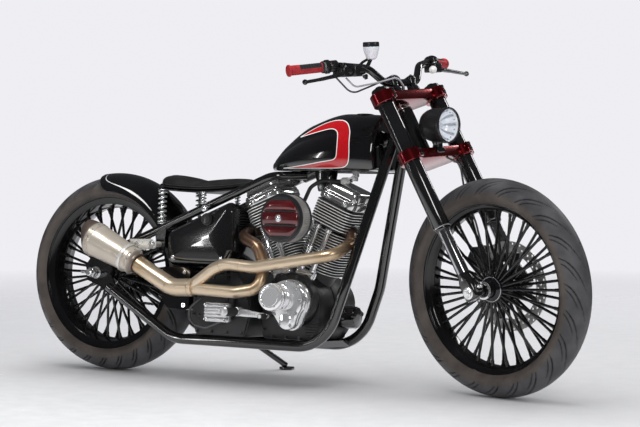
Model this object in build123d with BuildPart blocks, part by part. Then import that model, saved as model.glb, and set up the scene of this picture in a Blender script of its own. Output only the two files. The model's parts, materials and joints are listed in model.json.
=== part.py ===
from build123d import *
import os
from math import atan2, cos, degrees, hypot, pi, radians, sin, sqrt

os.makedirs("parts", exist_ok=True)

# Chopper motorcycle, millimetres.  The pieces are drawn on an upright machine:
# +X forward, +Y to the rider's left, +Z up, origin on the ground under the rear axle.
# They are then leaned onto the side stand, with the fork turned as it is parked.

# ---------------------------------------------------------------- driving dimensions
WHEELBASE = 1519.4
FRONT_R, FRONT_CROWN = 354.5, 61.3        # front tyre: outside radius, crown radius
REAR_R, REAR_CROWN = 346.5, 92.7          # rear tyre
RAKE = 29.36                              # steering axis from the vertical, degrees
FORK_OFFSET = 51.3                        # steering axis to fork tube plane
STEER_REST = -13.84                       # fork turned to the right
LEAN = 4.0                                # lean to the left
ORIGIN_X, ORIGIN_Y = 759.794, 69.956          # centre of the parked outline, on the ground

RAIL_Y = 122.0                            # frame rails, half spacing
RAIL_R, STAY_R, SPINE_R = 18.0, 14.5, 22.0
RAIL_Z = 131.0                            # bottom rails above the ground
NECK_R, NECK_BORE, STEM_R = 33.0, 15.0, 14.95
NECK_LOW, NECK_HIGH = 516.0, 681.0        # neck ends, measured along the steering axis
FORK_Y = 132.5                            # fork tubes, half spacing
FORK_OUTER_R, FORK_INNER_R = 28.5, 20.5
LOW_YOKE, TOP_YOKE, YOKE_T = (470.0, 510.0), (687.0, 727.0), 40.0
AXLE_F_R, AXLE_R_R, SHAFT_GAP = 10.0, 12.0, 0.05

CRANK = (795.0, 265.0)                    # crankshaft, X and Z
V_HALF = 22.5                             # half of the angle between the cylinders
PIPE_R, COLLECTOR_R = 20.5, 30.0
BAR_R = 12.7
STAND_PIVOT = (460.0, 172.0, 128.0)
STAND_AXIS = (0.0, 0.621, 0.784)


def v3(x, y, z):
    return Vector(x, y, z)


# ---------------------------------------------------------------- placing
c_r, s_r = cos(radians(RAKE)), sin(radians(RAKE))
FRONT_AXLE = v3(WHEELBASE, 0, FRONT_R)
UP_FORK, FWD_FORK = v3(-s_r, 0, c_r), v3(c_r, 0, s_r)
fork_plane = Plane(origin=FRONT_AXLE, x_dir=FWD_FORK, z_dir=UP_FORK)
fork_home = fork_plane.location
turn = fork_home * Pos(-FORK_OFFSET, 0, 0) * Rot(0, 0, STEER_REST) * Pos(FORK_OFFSET, 0, 0) * fork_home.inverse()
rear_home = Pos(0, 0, REAR_R)
lean = Rot(-LEAN, 0, 0)


def lowest(home, ring_r, crown_r):
    """Lowest point of a tyre whose crown arc runs round a circle of ring_r."""
    centre = home.position
    side = (home * Pos(0, 1, 0)).position - centre
    return centre.X, centre.Z - ring_r * sqrt(1 - side.Z**2) - crown_r


x_f, z_f = lowest(lean * turn * fork_home, FRONT_R - FRONT_CROWN, FRONT_CROWN)
x_r, z_r = lowest(lean * rear_home, REAR_R - REAR_CROWN, REAR_CROWN)
pitch = Rot(0, degrees(atan2(z_f - z_r, x_f - x_r)), 0)
_, z_low = lowest(pitch * lean * rear_home, REAR_R - REAR_CROWN, REAR_CROWN)
park = Pos(-ORIGIN_X, -ORIGIN_Y, -z_low) * pitch * lean

home_of = {"bike": park, "fork": park * turn * fork_home, "bars": park * turn, "rear": park * rear_home}
finished = []


def done(builder, label, home="bike"):
    finished.append((builder, label, home))


def tube(points, radii, r):
    """Round bar along straight runs and tangent arcs."""
    with BuildPart() as bar:
        with BuildLine() as route:
            if len(points) > 2:
                FilletPolyline(*points, radius=radii)
            else:
                Line(*points)
        with BuildSketch(Plane(origin=route.line @ 0, z_dir=route.line % 0)):
            Circle(r)
        sweep(path=route.line)
    return bar


def rod(start, end, r):
    """Straight round bar between two points."""
    a, b = Vector(*start), Vector(*end)
    with BuildPart(Plane(origin=a, z_dir=b - a)) as bar:
        Cylinder(r, (b - a).length, align=(Align.CENTER, Align.CENTER, Align.MIN))
    return bar


# ================================================================ wheels
# tyre section: bead half width, bead radius, shoulder half angle on the crown arc
WHEELS = [
    # name, outside r, crown r, shoulder deg, bead r, bead half w, rim flange r, well r, hub r, flange r, flange y, home
    ("front", FRONT_R, FRONT_CROWN, 80.0, 276.0, 43.0, 284.0, 254.0, 30.0, 44.0, 30.0, "fork"),
    ("rear", REAR_R, REAR_CROWN, 60.0, 272.0, 66.0, 281.0, 236.0, 34.0, 54.0, 46.0, "rear"),
]
SPOKES = 52
SPOKE_R = 4.0
for name, r_out, r_crown, a_sh, r_bead, w_bead, r_flange, r_well, r_hub, r_hflange, y_hflange, home in WHEELS:
    r_ring = r_out - r_crown
    sh = (r_ring + r_crown * cos(radians(a_sh)), r_crown * sin(radians(a_sh)))
    mid = ((sh[0] + r_bead) / 2, max(sh[1], w_bead) * 0.5 + w_bead * 0.5 + 6.0)
    with BuildPart() as tyre:
        with BuildSketch(Plane.XY):
            with BuildLine():
                ThreePointArc((sh[0], -sh[1]), (r_out, 0), (sh[0], sh[1]))
                ThreePointArc((sh[0], sh[1]), mid, (r_bead, w_bead))
                Line((r_bead, w_bead), (r_bead, -w_bead))
                ThreePointArc((r_bead, -w_bead), (mid[0], -mid[1]), (sh[0], -sh[1]))
            make_face()
        revolve(axis=Axis.Y)
    done(tyre, f"{name}_tyre", home)

    w_rim = w_bead + 5.0
    with BuildPart() as rim:
        with BuildSketch(Plane.XY):
            with BuildLine():
                Polyline(
                    (r_bead, -w_bead), (r_bead, w_bead), (r_flange - 3, w_bead + 1.0), (r_flange, w_bead + 3.0),
                    (r_flange - 2, w_rim), (r_well + 10, w_bead - 2), (r_well, 12), (r_well, -12),
                    (r_well + 10, -w_bead + 2), (r_flange - 2, -w_rim), (r_flange, -w_bead - 3.0),
                    (r_flange - 3, -w_bead - 1.0), close=True)
            make_face()
        revolve(axis=Axis.Y)
        add(tyre.part, mode=Mode.SUBTRACT)
    done(rim, f"{name}_rim", home)

    axle_r = AXLE_F_R if name == "front" else AXLE_R_R
    y_end = 84.0 if name == "front" else 104.0
    with BuildPart() as hub:
        with BuildSketch(Plane.XY):
            with BuildLine():
                Polyline(
                    (axle_r + SHAFT_GAP, -y_end), (r_hub * 0.72, -y_end), (r_hub, -y_hflange - 14), (r_hflange, -y_hflange - 5),
                    (r_hflange, -y_hflange + 5), (r_hub, -y_hflange + 12), (r_hub, y_hflange - 12), (r_hflange, y_hflange - 5),
                    (r_hflange, y_hflange + 5), (r_hub, y_hflange + 14), (r_hub * 0.72, y_end), (axle_r + SHAFT_GAP, y_end), close=True)
            make_face()
        revolve(axis=Axis.Y)
    done(hub, f"{name}_hub", home)

    # straight spokes leave each hub flange in turn for the rim's well
    with BuildPart() as spokes:
        for k in range(SPOKES):
            side = 1 if k % 2 else -1
            a = radians(360.0 / SPOKES * k)
            start = ((r_hflange - 3) * cos(a), side * y_hflange, (r_hflange - 3) * sin(a))
            end = ((r_well + 2) * cos(a), side * 6.0, (r_well + 2) * sin(a))
            add(rod(start, end, SPOKE_R).part)
    done(spokes, f"{name}_spokes", home)

with BuildPart() as front_disc:
    with BuildSketch(Plane.XZ.offset(-66)):
        Circle(146)
        Circle(30.2, mode=Mode.SUBTRACT)
        for a in range(8):
            with PolarLocations(88, 1, start_angle=45.0 * a):
                SlotOverall(60, 22, rotation=0, mode=Mode.SUBTRACT)
    extrude(amount=5)
    add(finished[2][0].part, mode=Mode.SUBTRACT)
done(front_disc, "front_disc", "fork")
rear_hub = finished[6][0]
for label, r, y_low, y_high, holes in (("rear_sprocket", 100.0, 92.0, 98.0, 6),):
    with BuildPart() as plate:
        with BuildSketch(Plane.XZ.offset(-y_high)):
            Circle(r)
            Circle(20, mode=Mode.SUBTRACT)
            with PolarLocations(r * 0.66, holes):
                Circle(r * 0.17, mode=Mode.SUBTRACT)
        extrude(amount=y_high - y_low)
        add(rear_hub.part, mode=Mode.SUBTRACT)
    done(plate, label, "rear")

# ================================================================ frame
axis_foot = FRONT_AXLE - FWD_FORK * FORK_OFFSET      # a = 0 on the steering axis


def on_axis(a):
    return axis_foot + UP_FORK * a


with BuildPart() as neck:
    with BuildSketch(Plane(origin=on_axis(NECK_LOW), x_dir=FWD_FORK, z_dir=UP_FORK)):
        Circle(NECK_R)
        Circle(NECK_BORE, mode=Mode.SUBTRACT)
    extrude(amount=NECK_HIGH - NECK_LOW)
SPINE = [(1165, 0, 858), (768, 0, 702)]
with BuildPart() as backbone:
    add(rod(SPINE[0], SPINE[1], SPINE_R).part)
    with BuildSketch(Plane.XZ.offset(-6)):                   # gusset between neck and top tube
        with BuildLine():
            Polyline((1195, 790), (1100, 815), (1040, 815), (1160, 870), close=True)
        make_face()
    extrude(amount=12)
    with BuildSketch(Plane(origin=on_axis(NECK_LOW - 5), x_dir=FWD_FORK, z_dir=UP_FORK)):
        Circle(NECK_R - 1)
    extrude(amount=NECK_HIGH - NECK_LOW + 10, mode=Mode.SUBTRACT)
    add(neck.part)
done(backbone, "backbone")

PLATE_Y = (117.0, 127.0)
axle_outline = [(-48, 372), (-30, 396), (40, 430), (85, 436), (60, 396), (62, 340), (88, 292), (60, 268), (10, 302), (-40, 318)]
with BuildPart() as axle_plates:
    for y_in in (PLATE_Y[0], -PLATE_Y[1]):
        with BuildSketch(Plane.XZ.offset(-y_in - 10)):
            with BuildLine():
                Polyline(*axle_outline, close=True)
            make_face()
            with Locations((0, REAR_R)):
                Circle(AXLE_R_R, mode=Mode.SUBTRACT)
        extrude(amount=10)
done(axle_plates, "axle_plates")

LOOP_RADII = [220, 150, 150]
loops = {}
for side, word in ((-1, "right"), (1, "left")):
    route = [(1141, 34 * side, 856), (1012, RAIL_Y * side, 330), (945, RAIL_Y * side, RAIL_Z), (337, RAIL_Y * side, RAIL_Z), (52, RAIL_Y * side, 298)]
    with BuildPart() as loop:
        add(tube(route, LOOP_RADII, RAIL_R).part)
        add(backbone.part, mode=Mode.SUBTRACT)
        with BuildSketch(Plane(origin=on_axis(NECK_LOW), x_dir=FWD_FORK, z_dir=UP_FORK)):
            Circle(NECK_R)
        extrude(amount=NECK_HIGH - NECK_LOW, mode=Mode.SUBTRACT)
        add(axle_plates.part, mode=Mode.SUBTRACT)
        if side > 0:                                            # lug and pin of the side stand
            px, py, pz = STAND_PIVOT
            lug = Plane(origin=STAND_PIVOT, z_dir=STAND_AXIS)
            with BuildSketch(lug.offset(-29)):
                Circle(15)
            extrude(amount=15.5)
            with BuildSketch(lug.offset(-14)):
                Circle(6)
            extrude(amount=30)
            add(rod((px, RAIL_Y, RAIL_Z), (px, py - 15.5, pz - 19.5), 9).part)
    biggest = sorted(loop.part.solids(), key=lambda s: s.volume)[-1]
    with BuildPart() as loop_clean:
        add(biggest)
    loops[word] = loop_clean
    done(loop_clean, f"loop_{word}")

with BuildPart() as upper_stays:
    for side in (-1, 1):
        route = [(784, 12 * side, 706), (702, 100 * side, 700), (30, 122 * side, 408)]
        add(tube(route, [60], STAY_R).part)
    with BuildSketch(Plane.XZ.offset(118)):                    # lug of the muffler bracket
        with BuildLine():
            Polyline((246, 500), (292, 520), (288, 440), (256, 440), close=True)
        make_face()
    extrude(amount=9)
    add(backbone.part, mode=Mode.SUBTRACT)
    add(axle_plates.part, mode=Mode.SUBTRACT)
with BuildPart() as stays_clean:
    for s in sorted(upper_stays.part.solids(), key=lambda s: s.volume)[-2:]:
        add(s)
done(stays_clean, "upper_stays")

CROSS = [
    # x low, x high, z low, z high
    (836, 906, 128, 150),
    (392, 452, 128, 150),
]
with BuildPart() as crossmembers:
    for x0, x1, z0, z1 in CROSS:
        with BuildSketch(Plane.XY.offset(z0)):
            with Locations(((x0 + x1) / 2, 0)):
                Rectangle(x1 - x0, 2 * RAIL_Y)
        extrude(amount=z1 - z0)
    add(loops["right"].part, mode=Mode.SUBTRACT)
    add(loops["left"].part, mode=Mode.SUBTRACT)
with BuildPart() as cross_clean:
    for s in sorted(crossmembers.part.solids(), key=lambda s: s.volume)[-2:]:
        add(s)
done(cross_clean, "crossmembers")

with BuildPart() as rear_axle:
    with BuildSketch(Plane.XZ.offset(-178)):
        with Locations((0, REAR_R)):
            Circle(AXLE_R_R)
    extrude(amount=356)
    for y0, y1, r in ((-150, -127, 19), (127, 150, 19), (-117, -104.3, 19), (104.3, 117, 19)):
        with BuildSketch(Plane.XZ.offset(-y1)):
            with Locations((0, REAR_R)):
                Circle(r)
        extrude(amount=y1 - y0)
done(rear_axle, "rear_axle")

# ================================================================ engine
cx, cz = CRANK
with BuildPart() as crankcase:
    with BuildSketch(Plane.XZ.offset(-100)):
        with Locations((cx, cz)):
            Circle(114)
        with BuildLine():
            Polyline((cx - 100, 290), (cx - 62, 374), (cx + 62, 374), (cx + 100, 290), (cx + 118, 190), (cx + 90, 150), (cx - 110, 150), (cx - 116, 230), close=True)
        make_face()
    extrude(amount=200)
    with BuildSketch(Plane.XZ.offset(100)):                      # cam chest
        with Locations((cx + 18, 284)):
            Circle(92)
    extrude(amount=40)
    for lean_v in (-V_HALF, V_HALF):                            # cylinder decks and tappet blocks
        deck = Plane(origin=(cx, 0, cz), x_dir=(cos(radians(lean_v)), 0, -sin(radians(lean_v))), z_dir=(sin(radians(lean_v)), 0, cos(radians(lean_v))))
        with BuildSketch(deck.offset(60)):
            Circle(60)
            with Locations((0, -84)):
                Rectangle(72, 30)
        extrude(amount=72)
done(crankcase, "crankcase")

with BuildPart() as cam_cover:
    with BuildSketch(Plane.XZ.offset(140)):
        with Locations((828, 284)):
            Circle(70)
        with Locations((852, 222)):
            Circle(46)
        with BuildLine():
            Polyline((760, 270), (808, 208), (898, 222), (897, 290), close=True)
        make_face()
    extrude(amount=56)
    with BuildSketch(Plane.XZ.offset(196)):
        with Locations((803, 294)):
            Circle(46)
    extrude(amount=54)
    fillet(cam_cover.faces().sort_by(Axis.Y)[0].edges(), 5)
done(cam_cover, "cam_cover")

with BuildPart() as primary_cover:
    with BuildSketch(Plane.XZ.offset(-184)):
        with Locations((795, 268)):
            Circle(98)
        with Locations((548, 268)):
            Circle(104)
        with BuildLine():
            Polyline((795, 170), (548, 164), (548, 372), (795, 366), close=True)
        make_face()
    extrude(amount=78)
    fillet(primary_cover.faces().sort_by(Axis.Y)[-1].edges(), 16)
done(primary_cover, "primary_cover")

FIN_PITCH, FIN_T, FINS = 14.0, 4.0, 11
decks = {}
with BuildPart() as cylinders:
    for lean_v in (-V_HALF, V_HALF):
        deck = Plane(origin=(cx, 0, cz), x_dir=(cos(radians(lean_v)), 0, -sin(radians(lean_v))), z_dir=(sin(radians(lean_v)), 0, cos(radians(lean_v))))
        decks[lean_v] = deck
        with BuildPart(mode=Mode.PRIVATE) as barrel:
            with BuildSketch(deck.offset(132)):
                Circle(58)
            extrude(amount=157)
            for k in range(FINS):
                with BuildSketch(deck.offset(140 + FIN_PITCH * k)):
                    RectangleRounded(152, 150, 60)
                extrude(amount=FIN_T)
            with BuildSketch(Plane.YZ.offset(cx)):              # fins stop short of the valley
                Rectangle(900, 2000)
            extrude(amount=-400 if lean_v > 0 else 400, mode=Mode.SUBTRACT)
            with BuildSketch(Plane.YZ.offset(cx - 3)):
                Rectangle(900, 2000)
            extrude(amount=6, mode=Mode.SUBTRACT)
        add(barrel.part)
    add(crankcase.part, mode=Mode.SUBTRACT)
done(cylinders, "cylinders")

with BuildPart() as cylinder_heads:
    for lean_v in (-V_HALF, V_HALF):
        deck = decks[lean_v]
        with BuildSketch(deck.offset(289)):
            RectangleRounded(132, 150, 30)
        extrude(amount=86)
        for k in range(5):
            with BuildSketch(deck.offset(298 + 15 * k)):
                RectangleRounded(154, 172, 34)
            extrude(amount=5)
        with BuildSketch(deck.offset(375)):
            RectangleRounded(150, 156, 26)
        extrude(amount=26)
        with BuildSketch(deck.offset(401)):
            RectangleRounded(134, 142, 26)
        extrude(amount=38, taper=8)
done(cylinder_heads, "cylinder_heads")

with BuildPart() as pushrod_tubes:
    for lean_v in (-V_HALF, V_HALF):
        for off in (-22, 22):
            with BuildSketch(decks[lean_v].offset(132)):
                with Locations((off, -87)):
                    Circle(9)
            extrude(amount=157)
    add(cylinders.part, mode=Mode.SUBTRACT)
done(pushrod_tubes, "pushrod_tubes")

AIR = (833, 555)                            # air cleaner, X and Z
with BuildPart() as intake:
    with BuildSketch(Plane.XZ.offset(-30)):
        with Locations((cx, 548)):
            Circle(26)
    extrude(amount=120)
    with BuildSketch(Plane.XZ.offset(90)):
        with Locations((cx + 8, 550)):
            RectangleRounded(64, 84, 14)
    extrude(amount=72)
    with BuildSketch(Plane.XZ.offset(162)):
        with Locations(AIR):
            Circle(66)
    extrude(amount=18)
    add(cylinder_heads.part, mode=Mode.SUBTRACT)
    add(cylinders.part, mode=Mode.SUBTRACT)
done(intake, "intake")
with BuildPart() as air_filter:
    with BuildSketch(Plane.XZ.offset(180)):
        with Locations(AIR):
            Circle(80)
    extrude(amount=62)
done(air_filter, "air_filter")
with BuildPart() as air_cleaner_cover:
    with BuildSketch(Plane.XZ.offset(242)):
        with Locations(AIR):
            Circle(73)
    extrude(amount=26)
    fillet(air_cleaner_cover.faces().sort_by(Axis.Y)[0].edges(), 8)
done(air_cleaner_cover, "air_cleaner_cover")

GEAR_SHAFT = (548, 268)
with BuildPart() as gearbox:
    with BuildSketch(Plane.XZ.offset(-86)):
        with BuildLine():
            Polyline((440, 150), (640, 150), (662, 230), (650, 330), (600, 366), (450, 358), (424, 300), (418, 200), close=True)
        make_face()
    extrude(amount=228)
    with BuildSketch(Plane.XZ.offset(142)):
        with Locations((530, 262)):
            RectangleRounded(150, 130, 40)
    extrude(amount=20)
    with BuildSketch(Plane.XZ.offset(-106)):
        with Locations(GEAR_SHAFT):
            Circle(16)
    extrude(amount=20)
    with BuildSketch(Plane.XZ.offset(-98)):
        with Locations(GEAR_SHAFT):
            Circle(44)
    extrude(amount=6)
    add(crankcase.part, mode=Mode.SUBTRACT)
done(gearbox, "gearbox")

# roller chain as one loop round both sprockets
with BuildPart() as drive_chain:
    (x0, z0, r0), (x1, z1, r1) = (0.0, REAR_R, 100.5), (GEAR_SHAFT[0], GEAR_SHAFT[1], 44.5)
    d = hypot(x1 - x0, z1 - z0)
    base, spread = atan2(z1 - z0, x1 - x0), atan2(r0 - r1, sqrt(d * d - (r0 - r1) ** 2))
    for grow, how in ((11.0, Mode.ADD), (0.0, Mode.SUBTRACT)):
        a_up, a_dn = base + pi / 2 - spread, base - pi / 2 + spread
        p = [(x0 + (r0 + grow) * cos(a), z0 + (r0 + grow) * sin(a)) for a in (a_up, a_dn, base + pi)]
        q = [(x1 + (r1 + grow) * cos(a), z1 + (r1 + grow) * sin(a)) for a in (a_up, a_dn, base)]
        with BuildSketch(Plane.XZ.offset(-98)):
            with BuildLine():
                Line(p[0], q[0])
                ThreePointArc(q[0], q[2], q[1])
                Line(q[1], p[1])
                ThreePointArc(p[1], p[2], p[0])
            make_face()
        extrude(amount=6, mode=how)
done(drive_chain, "drive_chain")

# ================================================================ exhaust
FRONT_PIPE = [(978, -30, 520), (1003, -68, 482), (1016, -196, 441), (708, -207, 389), (600, -207, 397), (552, -207, 380), (470, -210, 322)]
FRONT_BENDS = [30, 48, 120, 120, 45]
REAR_PIPE = [(640, -40, 520), (604, -136, 494), (690, -156, 462), (722, -160, 395), (722, -190, 318), (640, -207, 303), (470, -210, 308)]
REAR_BENDS = [40, 45, 45, 45, 60]
COLLECTOR = [(474, -210, 313), (388, -213, 309), (300, -220, 356), (246, -222, 385)]
MUFFLER_A, MUFFLER_B = v3(246, -222, 385), v3(54, -222, 467)
muff = Plane(origin=MUFFLER_A, x_dir=(0, 1, 0), z_dir=MUFFLER_B - MUFFLER_A)
M_LEN = (MUFFLER_B - MUFFLER_A).length
with BuildPart() as muffler:
    with BuildSketch(muff.offset(0.5)):
        Circle(36)
    with BuildSketch(muff.offset(16)):
        Circle(45)
    loft()
    with BuildSketch(muff.offset(16)):
        Circle(45)
    with BuildSketch(muff.offset(M_LEN)):
        Circle(60)
    loft()
    with BuildSketch(muff.offset(M_LEN)):
        Circle(58)
    with BuildSketch(muff.offset(M_LEN + 42)):
        with Locations((0, -22)):
            Circle(31)
    loft()
    with BuildSketch(muff.offset(M_LEN + 44)):
        with Locations((0, -22)):
            Circle(26)
    extrude(amount=-60, mode=Mode.SUBTRACT)
done(muffler, "muffler")
with BuildPart() as collector:
    add(tube(COLLECTOR, [90, 200], COLLECTOR_R).part)
with BuildPart() as rear_header:
    add(tube(REAR_PIPE, REAR_BENDS, PIPE_R).part)
    add(collector.part)
    add(muffler.part, mode=Mode.SUBTRACT)
    add(cylinder_heads.part, mode=Mode.SUBTRACT)
    add(cylinders.part, mode=Mode.SUBTRACT)
with BuildPart() as front_header:
    add(tube(FRONT_PIPE, FRONT_BENDS, PIPE_R).part)
    add(rear_header.part, mode=Mode.SUBTRACT)
    add(cylinder_heads.part, mode=Mode.SUBTRACT)
    add(cylinders.part, mode=Mode.SUBTRACT)
with BuildPart() as front_clean:
    add(sorted(front_header.part.solids(), key=lambda s: s.volume)[-1])
with BuildPart() as rear_clean:
    add(sorted(rear_header.part.solids(), key=lambda s: s.volume)[-1])
done(front_clean, "front_header")
done(rear_clean, "rear_header")

with BuildPart() as muffler_bracket:
    with BuildSketch(Plane.XZ.offset(158)):
        with BuildLine():
            Polyline((160, 476), (268, 470), (284, 455), (270, 438), (214, 430), (150, 430), close=True)
        make_face()
    extrude(amount=14)
    with BuildSketch(Plane.XZ.offset(127)):
        with Locations((268, 454)):
            Circle(10)
    extrude(amount=31)
    add(muffler.part, mode=Mode.SUBTRACT)
with BuildPart() as bracket_clean:
    add(sorted(muffler_bracket.part.solids(), key=lambda s: s.volume)[-1])
done(bracket_clean, "muffler_bracket")

# ================================================================ tank, seat, fender, oil tank
TANK = [
    # x, bottom z, shoulder z, top z, bottom half width, greatest half width, shoulder half width
    (652, 722, 742, 752, 16, 22, 14),
    (716, 722, 776, 812, 70, 80, 54),
    (820, 722, 822, 881, 104, 118, 84),
    (950, 722, 850, 916, 112, 128, 96),
    (1086, 722, 852, 912, 84, 96, 74),
]
with BuildPart() as fuel_tank:
    for x, z_b, z_s, z_t, w_b, w_m, w_s in TANK:
        z_m = z_b + 0.45 * (z_s - z_b)
        with BuildSketch(Plane(origin=(x, 0, 0), x_dir=(0, 1, 0), z_dir=(1, 0, 0))):
            with BuildLine():
                Line((-w_b, z_b), (w_b, z_b))
                ThreePointArc((w_b, z_b), (w_m, z_m), (w_s, z_s))
                ThreePointArc((w_s, z_s), (0, z_t), (-w_s, z_s))
                ThreePointArc((-w_s, z_s), (-w_m, z_m), (-w_b, z_b))
            make_face()
    loft()
    with BuildSketch(Plane.XZ.offset(-27)):                      # tunnel over the top tube
        with BuildLine():
            Polyline((600, 700), (1140, 700), (1140, 884), (790, 747), (600, 747), close=True)
        make_face()
    extrude(amount=54, mode=Mode.SUBTRACT)
done(fuel_tank, "fuel_tank")

SEAT_PLAN = [(318, 118), (470, 78), (560, 48)]             # x and radius of the outline circles
with BuildPart() as seat_outline:
    with BuildSketch(Plane.XY.offset(600)):
        for x, r in SEAT_PLAN:
            with Locations((x, 0)):
                Circle(r)
        with BuildLine():
            Polyline((300, -117), (480, -77), (575, -45), (575, 45), (480, 77), (300, 117), close=True)
        make_face()
    extrude(amount=150)
with BuildPart() as saddle:
    with BuildSketch(Plane.XZ.offset(-150)):
        with BuildLine():
            ThreePointArc((190, 662), (380, 643.5), (615, 674))
            Line((615, 674), (615, 690))
            ThreePointArc((615, 690), (480, 688), (372, 676))
            ThreePointArc((372, 676), (290, 694), (225, 702))
            Line((225, 702), (190, 690))
            Line((190, 690), (190, 662))
        make_face()
    extrude(amount=300)
    add(seat_outline.part, mode=Mode.INTERSECT)
done(saddle, "saddle")
with BuildPart() as seat_pan:
    with BuildSketch(Plane.XZ.offset(-150)):
        with BuildLine():
            ThreePointArc((190, 662), (380, 643.5), (615, 674))
            Line((615, 674), (615, 669))
            ThreePointArc((615, 669), (380, 638.5), (190, 657))
            Line((190, 657), (190, 662))
        make_face()
    extrude(amount=300)
    add(seat_outline.part, mode=Mode.INTERSECT)
    with BuildSketch(Plane.XZ.offset(-20)):                      # nose bracket down to the top tube
        with BuildLine():
            Polyline((590, 664), (604, 668), (700, 706), (700, 694), (610, 652), close=True)
        make_face()
    extrude(amount=40)
    add(cylinder_heads.part, mode=Mode.SUBTRACT)
done(seat_pan, "seat_pan")

SPRINGS = [(266, 116, 13), (432, 108, 9)]                   # x, half spacing, radius
with BuildPart() as seat_springs:
    for x, y, r in SPRINGS:
        for side in (-1, 1):
            with BuildSketch(Plane.XY.offset(480)):
                with Locations((x, y * side)):
                    Circle(r)
            extrude(amount=170)
    add(stays_clean.part, mode=Mode.SUBTRACT)
    add(seat_pan.part, mode=Mode.SUBTRACT)
    add(saddle.part, mode=Mode.SUBTRACT)
with BuildPart() as springs_clean:
    for s in seat_springs.part.solids():
        if s.center().Z > 0.437 * s.center().X + 410 and s.center().Z < 650:
            add(s)
done(springs_clean, "seat_springs")

FENDER_IN, FENDER_T = REAR_CROWN + 9.0, 3.0
FENDER_FROM, FENDER_TO = -9.0, 72.0                           # degrees forward of straight up
ring = REAR_R - REAR_CROWN
with BuildPart() as rear_fender:
    a = radians(70.0)
    i, o = FENDER_IN, FENDER_IN + FENDER_T
    with BuildSketch(Plane(origin=(0, 0, REAR_R), x_dir=(0, 0, 1), z_dir=(1, 0, 0))):
        with BuildLine():
            ThreePointArc((ring + i * cos(a), i * sin(a)), (ring + i, 0), (ring + i * cos(a), -i * sin(a)))
            Line((ring + i * cos(a), -i * sin(a)), (ring + o * cos(a), -o * sin(a)))
            ThreePointArc((ring + o * cos(a), -o * sin(a)), (ring + o, 0), (ring + o * cos(a), o * sin(a)))
            Line((ring + o * cos(a), o * sin(a)), (ring + i * cos(a), i * sin(a)))
        make_face()
    revolve(axis=Axis((0, 0, REAR_R), (0, 1, 0)), revolution_arc=FENDER_TO - FENDER_FROM)
rear_fender.part.move(Pos(0, 0, REAR_R) * Rot(0, FENDER_FROM, 0) * Pos(0, 0, -REAR_R))
done(rear_fender, "rear_fender")

with BuildPart() as oil_tank:
    with BuildSketch(Plane.XZ.offset(-146)):
        with BuildLine():
            Polyline((285, 384), (285, 496), (552, 612), (584, 584), (582, 440), (560, 384), close=True)
        make_face()
    extrude(amount=292)
    fillet(oil_tank.edges().filter_by(Axis.Y), 18)
    fillet(oil_tank.faces().sort_by(Axis.Y)[0].edges() + oil_tank.faces().sort_by(Axis.Y)[-1].edges(), 14)
    with BuildSketch(Plane.XZ.offset(-114)):
        with Locations((0, REAR_R)):
            Circle(364)
    extrude(amount=228, mode=Mode.SUBTRACT)
    for side in (-1, 1):                                          # room for the lug and the cylinder
        with BuildSketch(Plane.XY.offset(380)):
            with Locations((285, 122 * side)):
                Rectangle(60, 30)
        extrude(amount=200, mode=Mode.SUBTRACT)
    with BuildSketch(decks[-V_HALF].offset(120)):
        Rectangle(170, 190)
    extrude(amount=330, mode=Mode.SUBTRACT)
done(oil_tank, "oil_tank")

with BuildPart() as battery_box:
    with BuildSketch(Plane.XZ.offset(-84)):
        with BuildLine():
            Polyline((292, 262), (318, 236), (404, 232), (410, 300), (406, 378), (292, 378), close=True)
        make_face()
    extrude(amount=222)
    fillet(battery_box.edges().filter_by(Axis.Y), 12)
    with BuildSketch(Plane.XZ.offset(-114)):
        with Locations((0, REAR_R)):
            Circle(364)
    extrude(amount=228, mode=Mode.SUBTRACT)
with BuildPart() as box_clean:
    add(sorted(battery_box.part.solids(), key=lambda s: s.volume)[-1])
done(box_clean, "battery_box")

# ================================================================ foot controls, filter, rear brake
FOOT = [
    # side, label, plate x range, plate z range, peg x, peg z, arm end x, arm end z
    (-1, "right_foot_control", (500, 600), (199, 264), 636, 238, 752, 228),
    (1, "left_foot_control", (690, 760), (172, 236), 724, 208, 872, 236),
]
for side, label, (xa, xb), (za, zb), peg_x, peg_z, arm_x, arm_z in FOOT:
    y_in = 162 if side < 0 else 184
    with BuildPart() as control:
        with BuildSketch(Plane.XZ.offset(-y_in if side > 0 else y_in)):
            with Locations(((xa + xb) / 2, (za + zb) / 2)):
                RectangleRounded(xb - xa, zb - za, 8)
        extrude(amount=-side * 26)
        add(rod(((xa + xb) / 2, side * (y_in + 14), peg_z), (peg_x, side * (y_in + 14), peg_z), 11).part)
        add(rod((peg_x, side * (y_in + 6), peg_z), (peg_x, side * (y_in + 108), peg_z), 14).part)
        add(rod((peg_x, side * (y_in + 14), peg_z), (arm_x, side * (y_in + 20), arm_z), 7).part)
        add(rod((arm_x, side * (y_in + 14), arm_z), (arm_x, side * (y_in + 66), arm_z), 8).part)
        add(cam_cover.part, mode=Mode.SUBTRACT)
    with BuildPart() as control_clean:
        add(sorted(control.part.solids(), key=lambda s: s.volume)[-1])
    done(control_clean, label)

with BuildPart() as oil_filter:
    with BuildSketch(Plane(origin=(cx + 112, 24, 232), z_dir=(1, 0, 0))):
        Circle(38)
    extrude(amount=78)
    add(crankcase.part, mode=Mode.SUBTRACT)
with BuildPart() as filter_clean:
    add(sorted(oil_filter.part.solids(), key=lambda s: s.volume)[-1])
done(filter_clean, "oil_filter")

# ================================================================ fork and steering (drawn along the fork)
with BuildPart() as fork_outer_tubes:
    for side in (-1, 1):
        with BuildSketch(Plane.XY.offset(235)):
            with Locations((0, FORK_Y * side)):
                Circle(FORK_OUTER_R)
        extrude(amount=502)
done(fork_outer_tubes, "fork_outer_tubes", "fork")

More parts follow.
